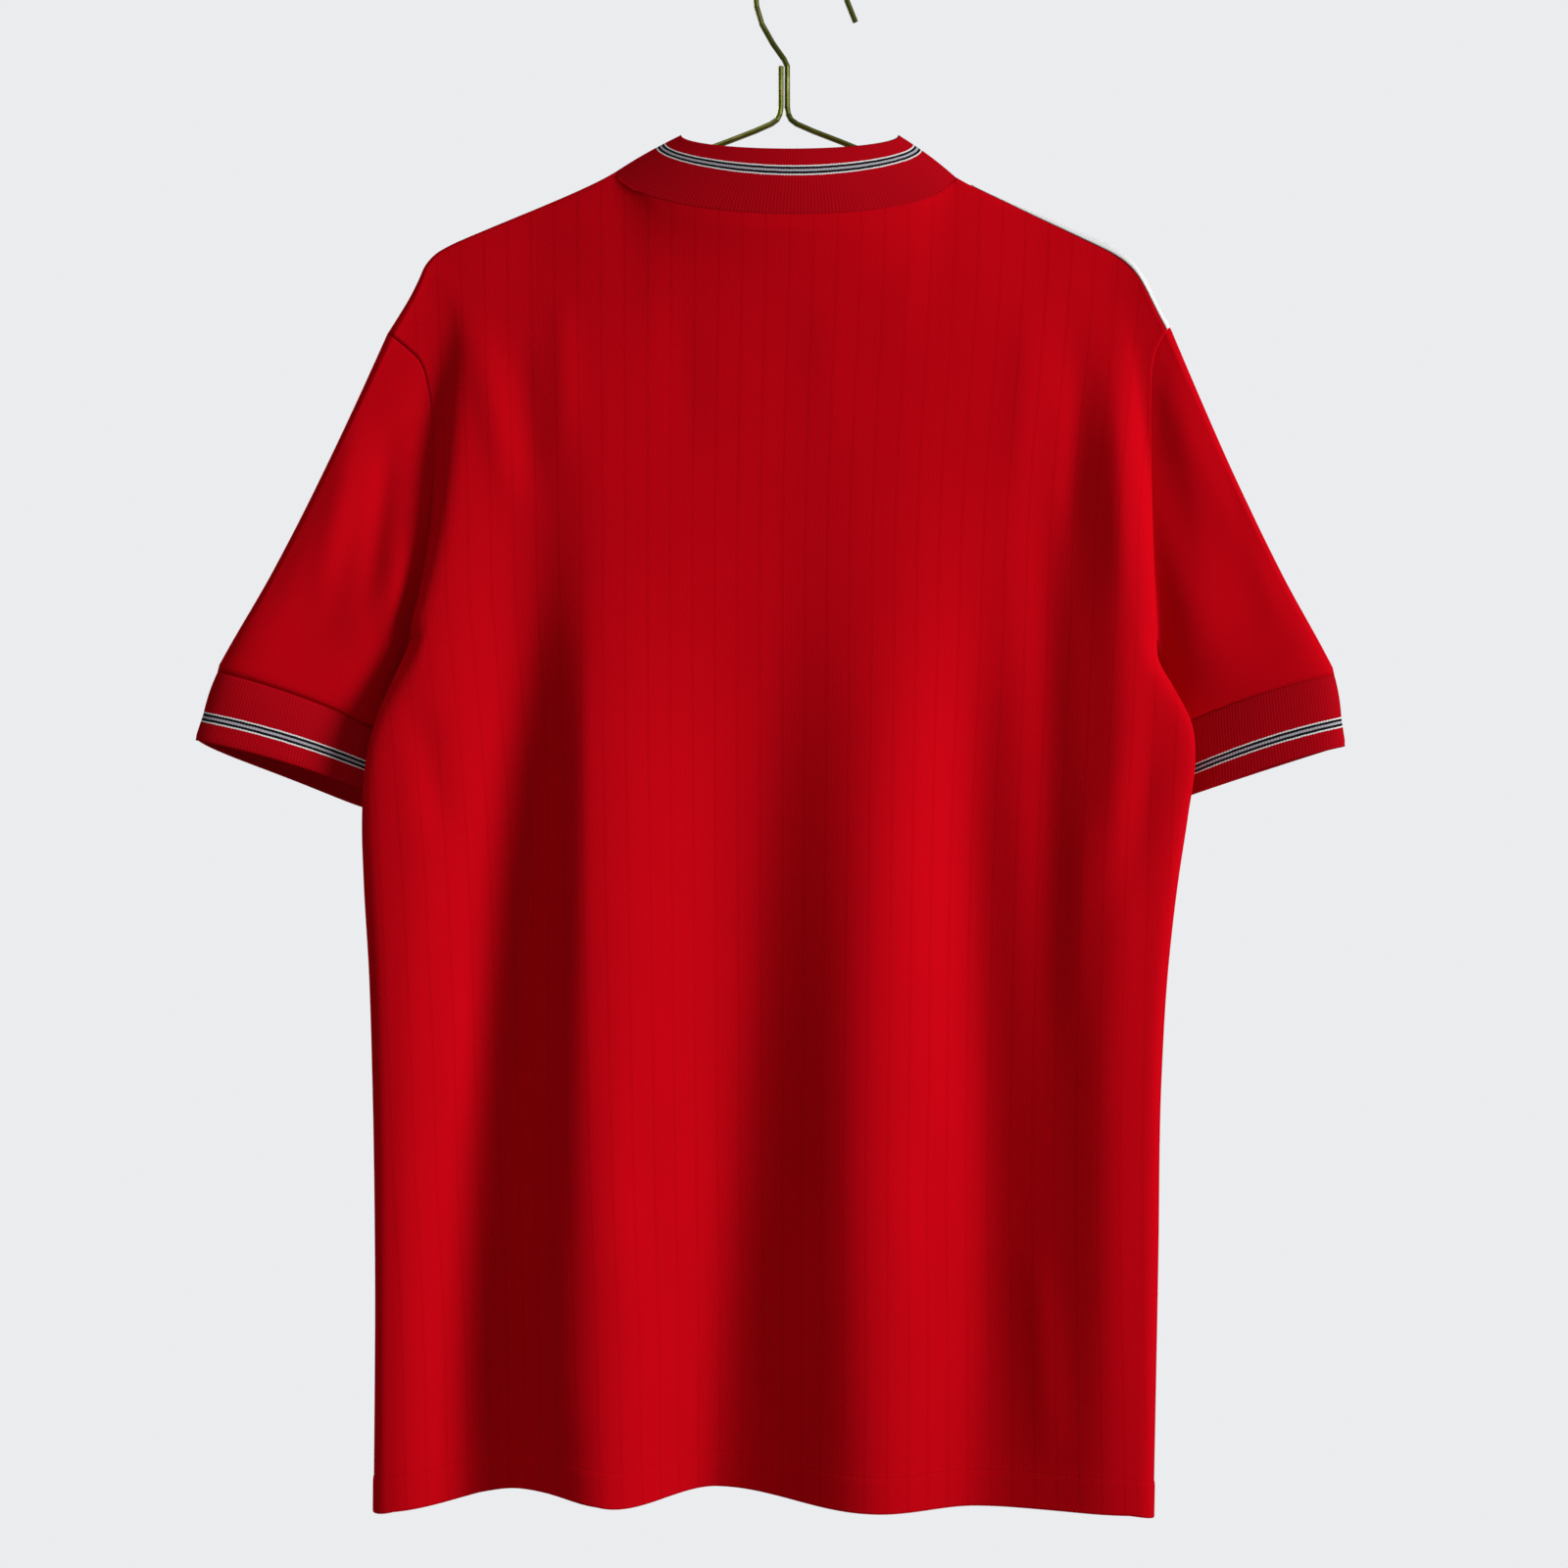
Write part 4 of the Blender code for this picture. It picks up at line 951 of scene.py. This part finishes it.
def sleeve_grid(side, stations):
    """Rings of a sleeve from the armhole (0) to the cuff's seam (1), and their angles."""
    rows, is_back = round_ring()
    start = armhole(side, rows)
    start[:, 1] *= np.where(is_back, 1, -1)
    angles = np.where(is_back, ring_angle(rows), 2 * math.pi - ring_angle(rows))
    end = cuff_ring(CUFF_RINGS[side][0], angles)
    outward = 1 if side == "left" else -1
    around = np.where(is_back, angles, 2 * math.pi - angles) / math.pi
    facing = np.sin(angles)
    inner_fold = around**4
    outer_fold = (1 - around) ** 2
    rings = []
    for s in stations:
        ring = start * (1 - s) + end * s
        bow = math.sin(math.pi * s)
        swell = SLEEVE_PUFF * math.sin(math.pi * s ** EARLY_PUFF[side])
        for fold in SLEEVE_FOLDS:
            swell = swell + fold.depth * bow * np.exp(-(((around - fold.around) / fold.width) ** 2))
        leave = math.sin(math.pi * s**EARLY_CLEAR) * (1 - s)
        ring[:, 1] += swell * facing - SLEEVE_TUCK * bow * inner_fold
        ring[:, 0] += outward * (SLEEVE_CLEAR * leave * inner_fold - SLEEVE_SAG * bow * outer_fold)
        inner = int(np.argmax(around))
        body_x = side_edges(ring[inner, 2])[0 if side == "left" else 1]
        gap = outward * (ring[inner, 0] - body_x) + PRESSED
        ring[:, 0] -= outward * max(0.0, gap) * fade(s / 0.03) * around**8
        rings.append(ring)
    return np.array(rings), angles


def tube_maps(points):
    """A tube's UV layers: round and along its cloth, and off its SEAM_RING and its last ring."""
    closed = np.concatenate([points, points[:, :1]], axis=1)
    along = run_along(closed, 0)
    along = along - along[SEAM_RING]
    around = run_along(closed, 1)
    mean_round = np.broadcast_to(around.mean(axis=0), around.shape)
    return {
        "cloth": np.stack([mean_round, along], -1),
        "edges": np.stack([np.abs(along), along[-1:] - along], -1),
    }


def with_allowance(grid, normals, reach=SEAM_TUCK):
    """Add a seam's allowance to a tube: it is tucked under the piece that the tube is sewn to."""
    seam = grid[0]
    along = unit(np.roll(seam, -1, 0) - np.roll(seam, 1, 0))
    across = unit(np.cross(normals[0], along))
    across = across * np.sign(((grid[1] - seam) * across).sum(axis=1))[:, None]
    tucked = ((reach, 2.1), (reach * 0.4, 1.5), (0.25, 0.9), (0.0, 0.08))
    rows = [seam - across * back - normals[0] * under for back, under in tucked]
    return np.concatenate([np.array(rows), grid[1:]])


plain_knit = knitted("plain_knit", False)
sleeves = {}
for side, outward in (("left", 1), ("right", -1)):
    stations = np.insert(np.linspace(0, 1, SLEEVE_STATIONS) ** 1.15, 1, 0.0015)
    rings, ring_angles = sleeve_grid(side, stations)
    normals = grid_normals(rings, outward, True)
    along = stations[:, None]
    facing = np.sin(ring_angles)[None, :]
    ends = fade(along / 0.12) * fade((1 - along) / 0.10)
    rings = creased(rings, normals, SLEEVE_CREASES[side, True], fade(facing * 2) * ends)
    rings = creased(rings, normals, SLEEVE_CREASES[side, False], fade(-facing * 2) * ends)
    swell = SEAM_SWELL * fade((along - 0.7) / 0.25) * fade((1 - along) / 0.014)
    rings = with_allowance(rings + normals * swell[..., None], normals)
    name = f"sleeve_cloth_{side}"
    sleeves[side] = cloth_piece(name, rings, outward, tube_maps(rings), CLOTH, True)
    sleeves[side].data.materials.append(plain_knit)
    flat, area = cut_size(rings, True)
    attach(sleeves[side], "root")
    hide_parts(f"sleeve_{side}")

# Cuffs: a ribbed knitted band sewn to the foot of each sleeve, with five fine lines of white
# and black knitted in near its free edge.
RIB_THICK = 1.3
RIB_RED = (0.52, 0.0030, 0.0095, 1.0)
# A deeper red for the rib's uneven patches, also used as painted shade in its grooves
RIB_DEEP_AND_GROOVE_SHADE = (0.22, 0.002, 0.005, 1.0)
RIB_PITCH = 0.0017
LINE_WHITE = (0.92, 0.91, 0.91, 1.0)
LINE_GREY = (0.50, 0.49, 0.54, 1.0)
# Black of the tipped lines, also used as painted shade in the rib's grooves over them
LINE_BLACK_AND_GROOVE_SHADE = (0.012, 0.011, 0.013, 1.0)
LINE_WIDTH = 0.00116
LINE_COUNT = 5
CUFF_LINES_OFF = 0.0110
CUFF_LIP = 0.5
CUFF_SWELL = 0.7
CUFF_STATIONS = 33


def ribbed(name, lines_off):
    """Rib knit with five tipped lines, the nearest a distance off the free edge, and painted shade
    in its grooves.
    """
    material, shader, dye = new_dye(name, 0.75)
    across, down = uv_of(dye, "cloth")
    off_seam, off_edge = uv_of(dye, "edges")
    rib = abs(across / RIB_PITCH % 1 - 0.5) * 2
    loop = abs(down / COURSE % 1 - 0.5) * 2
    patches = mottle(dye, 22.0, 3.0)
    # Painted shade: the rib's grooves are darkened, and slow patches deepen the red at random
    red = mixed((1 - rib) * 0.12 + patches * 0.2, RIB_RED, RIB_DEEP_AND_GROOVE_SHADE)
    wobble = (mottle(dye, 260.0, 1.0) - 0.5) * 0.0003
    place = (off_edge + wobble - lines_off) / (LINE_COUNT * LINE_WIDTH)
    # From edge to edge: white, black, grey, black and white, with soft borders
    band = (abs(place - 0.5) * -80 + 40.5).limited()
    black = (abs(abs(place - 0.5) - 0.235) * -80 + 10.5).limited()
    inside = (11 - abs(place - 0.5) * 60).limited()
    tint = mixed(black, mixed(inside, LINE_WHITE, LINE_GREY), LINE_BLACK_AND_GROOVE_SHADE)
    # Painted shade: the tipped lines are darkened toward black in the rib's grooves
    shaded = mixed((1 - rib) * 0.1, tint, LINE_BLACK_AND_GROOVE_SHADE)
    colour = mixed(band, red, shaded)
    feed(shader, "Base Color", colour)
    seam = (1 - off_seam / 0.0025).limited()
    edge = (1 - off_edge / 0.0015).limited()
    height = rib * 0.8 + loop * 0.2 - seam * seam * 0.5 - edge * edge * 0.9
    link_bump(dye, shader, height, 0.0004, 0.4)
    feed(shader, "Roughness", 0.68 + patches * 0.12)
    return material


cuff_rib = ribbed("cuff_rib", CUFF_LINES_OFF)
for side, outward in (("left", 1), ("right", -1)):
    start, end = (cuff_ring(ring, ring_angles) for ring in CUFF_RINGS[side])
    stations = np.linspace(0, 1, CUFF_STATIONS)
    rings = np.array([start * (1 - s) + end * s for s in stations])
    normals = grid_normals(rings, outward, True)
    swell = CUFF_SWELL * np.sin(np.pi * np.clip(stations * 1.6, 0, 1))
    swell = swell - CUFF_LIP * fade((stations - 0.9) / 0.1)
    rings = rings + normals * (swell * np.minimum(1, stations / 0.06))[:, None, None]
    rings = with_allowance(rings, normals)
    cuff = cloth_piece(f"cuff_rib_{side}", rings, outward, tube_maps(rings), RIB_THICK, True)
    cuff.data.materials.append(cuff_rib)
    flat, area = cut_size(rings, True)
    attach(cuff, "root")
    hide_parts(f"cuff_{side}")

# Collar: one ribbed band sewn round the neckline, standing up at the back and sides and lying
# lower at the front, tipped with the same five lines near its top edge.
COLLAR_LEFT_X = 58.3
COLLAR_RIGHT_X = -64.9
COLLAR_SIDE_DROP = 106.8
BACK_COLLAR_DROP = 119.1
BACK_COLLAR_Y = 20.5
FRONT_COLLAR_DROP = 199.0
FRONT_COLLAR_Y = 23.0
COLLAR_BOW = 1.5
COLLAR_LINES_OFF = 0.0100
COLLAR_STEPS = 12
COLLAR_STATIONS = 41
COLLAR_TUCK = 1.0


def collar_top(angle, back):
    """The collar's top edge at the neckline's angles."""
    x = oval(COLLAR_LEFT_X, COLLAR_RIGHT_X, angle)
    y = BACK_COLLAR_Y if back else FRONT_COLLAR_Y
    drop = (BACK_COLLAR_DROP if back else FRONT_COLLAR_DROP) - COLLAR_SIDE_DROP
    return neck_loop(x, COLLAR_SIDE_DROP, y, drop, angle, back)


collar_columns = COLLAR_STEPS * (NECK_RIGHT - NECK_LEFT) + 1
angles = neck_angle(np.linspace(NECK_LEFT, NECK_RIGHT, collar_columns))
halves = ((angles, True), (angles[-2:0:-1], False))
base = np.concatenate([neckline(half, back) for half, back in halves])
top = np.concatenate([collar_top(half, back) for half, back in halves])
middle = base.mean(axis=0)
stations = np.linspace(0, 1, COLLAR_STATIONS)
rings = []
for s in stations:
    ring = base * (1 - s) + top * s
    away = ring - middle
    away[:, 2] = 0
    rings.append(ring + unit(away) * COLLAR_BOW * math.sin(math.pi * s))
rings = np.array(rings)
normals = grid_normals(rings, -1, True)
rings = with_allowance(rings, normals, COLLAR_TUCK)
collar = cloth_piece("collar_rib", rings, -1, tube_maps(rings), RIB_THICK, True)
collar.data.materials.append(ribbed("collar_rib", COLLAR_LINES_OFF))
flat, area = cut_size(rings, True)
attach(collar, "root")
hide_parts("collar")

# Shoulder tapes: a plain white woven tape sewn along each shoulder, from the collar to the
# armhole, over the seam between back and front.
TAPE_WIDTH = 6.0
TAPE_THICK = 0.6
TAPE_OFF = 0.15
TAPE_STRIPS = 8
TAPE_EDGES = {"left": (-3.0, -1.5), "right": (1.5, 8.5)}
TAPE_END_COLUMNS = (0.12, 9.4)
TAPE_STATIONS = 76
TWILL = 0.0007
TAPE_STITCH = 0.0024
TAPE_WHITE = (0.95, 0.95, 0.94, 1.0)
# A duller white for the tape's uneven patches, also used as painted shade along its edges
TAPE_DULL_AND_EDGE_SHADE = (0.82, 0.81, 0.80, 1.0)


def down_column(points, normals, distance):
    """The point and normal at a distance down one column of a grid."""
    known = run_along(points, 0)
    place, normal = (
        np.array([np.interp(distance, known, part[:, i]) for i in range(3)])
        for part in (points, normals)
    )
    return place, unit(normal)


def tape_grid(side):
    """Outer points of a tape, laid on the panels and moved out."""
    from_edge, to_edge = TAPE_EDGES[side]
    back, front = (back_points, back_normals), (front_points, front_normals)
    lines = []
    for place in np.linspace(*TAPE_END_COLUMNS, TAPE_STATIONS):
        back_edge = to_edge + (from_edge - to_edge) * place / NECK_LEFT
        column = place if side == "left" else COLUMNS - place
        at = int(np.argmin(np.abs(panel_u[0] - column)))
        low = at if panel_u[0, at] <= column else at - 1
        part = (column - panel_u[0, low]) / (panel_u[0, low + 1] - panel_u[0, low])
        line = []
        for strip in range(TAPE_STRIPS + 1):
            offset = back_edge - TAPE_WIDTH * strip / TAPE_STRIPS
            points, normals = back if offset > 0 else front
            first, second = (
                down_column(points[:, i], normals[:, i], abs(offset)) for i in (low, low + 1)
            )
            spot = first[0] * (1 - part) + second[0] * part
            normal = unit(first[1] * (1 - part) + second[1] * part)
            edge = abs(strip / TAPE_STRIPS - 0.5) * 2
            line.append(spot + normal * (TAPE_OFF + TAPE_THICK * (1 - 0.45 * edge**6)))
        lines.append(line)
    return np.array(lines)


def woven():
    """White woven tape, with a fine twill, uneven dull patches and painted shade along its edges.
    """
    material, shader, dye = new_dye("woven_tape", 0.6)
    across, down = uv_of(dye, "cloth")
    twill = abs((across + down * 0.6) / TWILL % 1 - 0.5) * 2
    off_side, _ = uv_of(dye, "edges")
    edge = (1 - off_side / 0.0011).limited()
    patches = mottle(dye, 60.0, 2.0)
    # Painted shade darkens the tape along its edges; slow patches dull it at random
    colour = mixed(edge * 0.2 + patches * 0.2, TAPE_WHITE, TAPE_DULL_AND_EDGE_SHADE)
    stitch = line_at(off_side, 0.0009, 0.0003) * line_at(down / TAPE_STITCH % 1, 0.5, 0.4)
    feed(shader, "Base Color", colour)
    link_bump(dye, shader, twill * 0.4 - stitch * 0.8, 0.0003, 0.6)
    feed(shader, "Roughness", 0.5 + patches * 0.15)
    return material


tape_weave = woven()
for side in ("left", "right"):
    points = tape_grid(side)
    width = run_along(points, 1)
    off_side = np.minimum(width, width[:, -1:] - width)
    length = run_along(points, 0)
    maps = {
        "cloth": np.stack([width, length], -1),
        "edges": np.stack([off_side, length], -1),
    }
    outward = 1 if side == "left" else -1
    tape = cloth_piece(f"white_tape_{side}", points, outward, maps, TAPE_THICK * 0.5)
    tape.data.materials.append(tape_weave)
    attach(tape, "root")
    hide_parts(f"shoulder_tape_{side}")
flat, area = cut_size(back_points, False, UNDERARM_LINE)

# Hanger: one gilt steel wire about 3 mm thick, bent in a hook, down beside its own short end,
# and out into two arms under the shoulders.
GILT = (0.135, 0.150, 0.022, 1.0)
GILT_WORN = (0.30, 0.27, 0.10, 1.0)
GILT_DARK = (0.035, 0.040, 0.008, 1.0)

gilt, shader, dye = new_dye("gilt_wire", 0.35)
shader.inputs["Specular IOR Level"].default_value = 0.5
shader.inputs["Metallic"].default_value = 0.85
patches = mottle(dye, 90.0, 3.0)
specks = mottle(dye, 240.0, 2.0)
worn = ((patches - 0.52) * 5).limited()
colour = mixed(worn * 0.6, GILT, GILT_WORN)
colour = mixed(((specks - 0.6) * 6).limited() * 0.25, colour, GILT_DARK)
feed(shader, "Base Color", colour)
feed(shader, "Roughness", 0.26 + patches * 0.22)
link_bump(dye, shader, patches, 0.0001, 0.2)
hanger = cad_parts["hanger"]
for slot in hanger.material_slots:
    slot.material = gilt
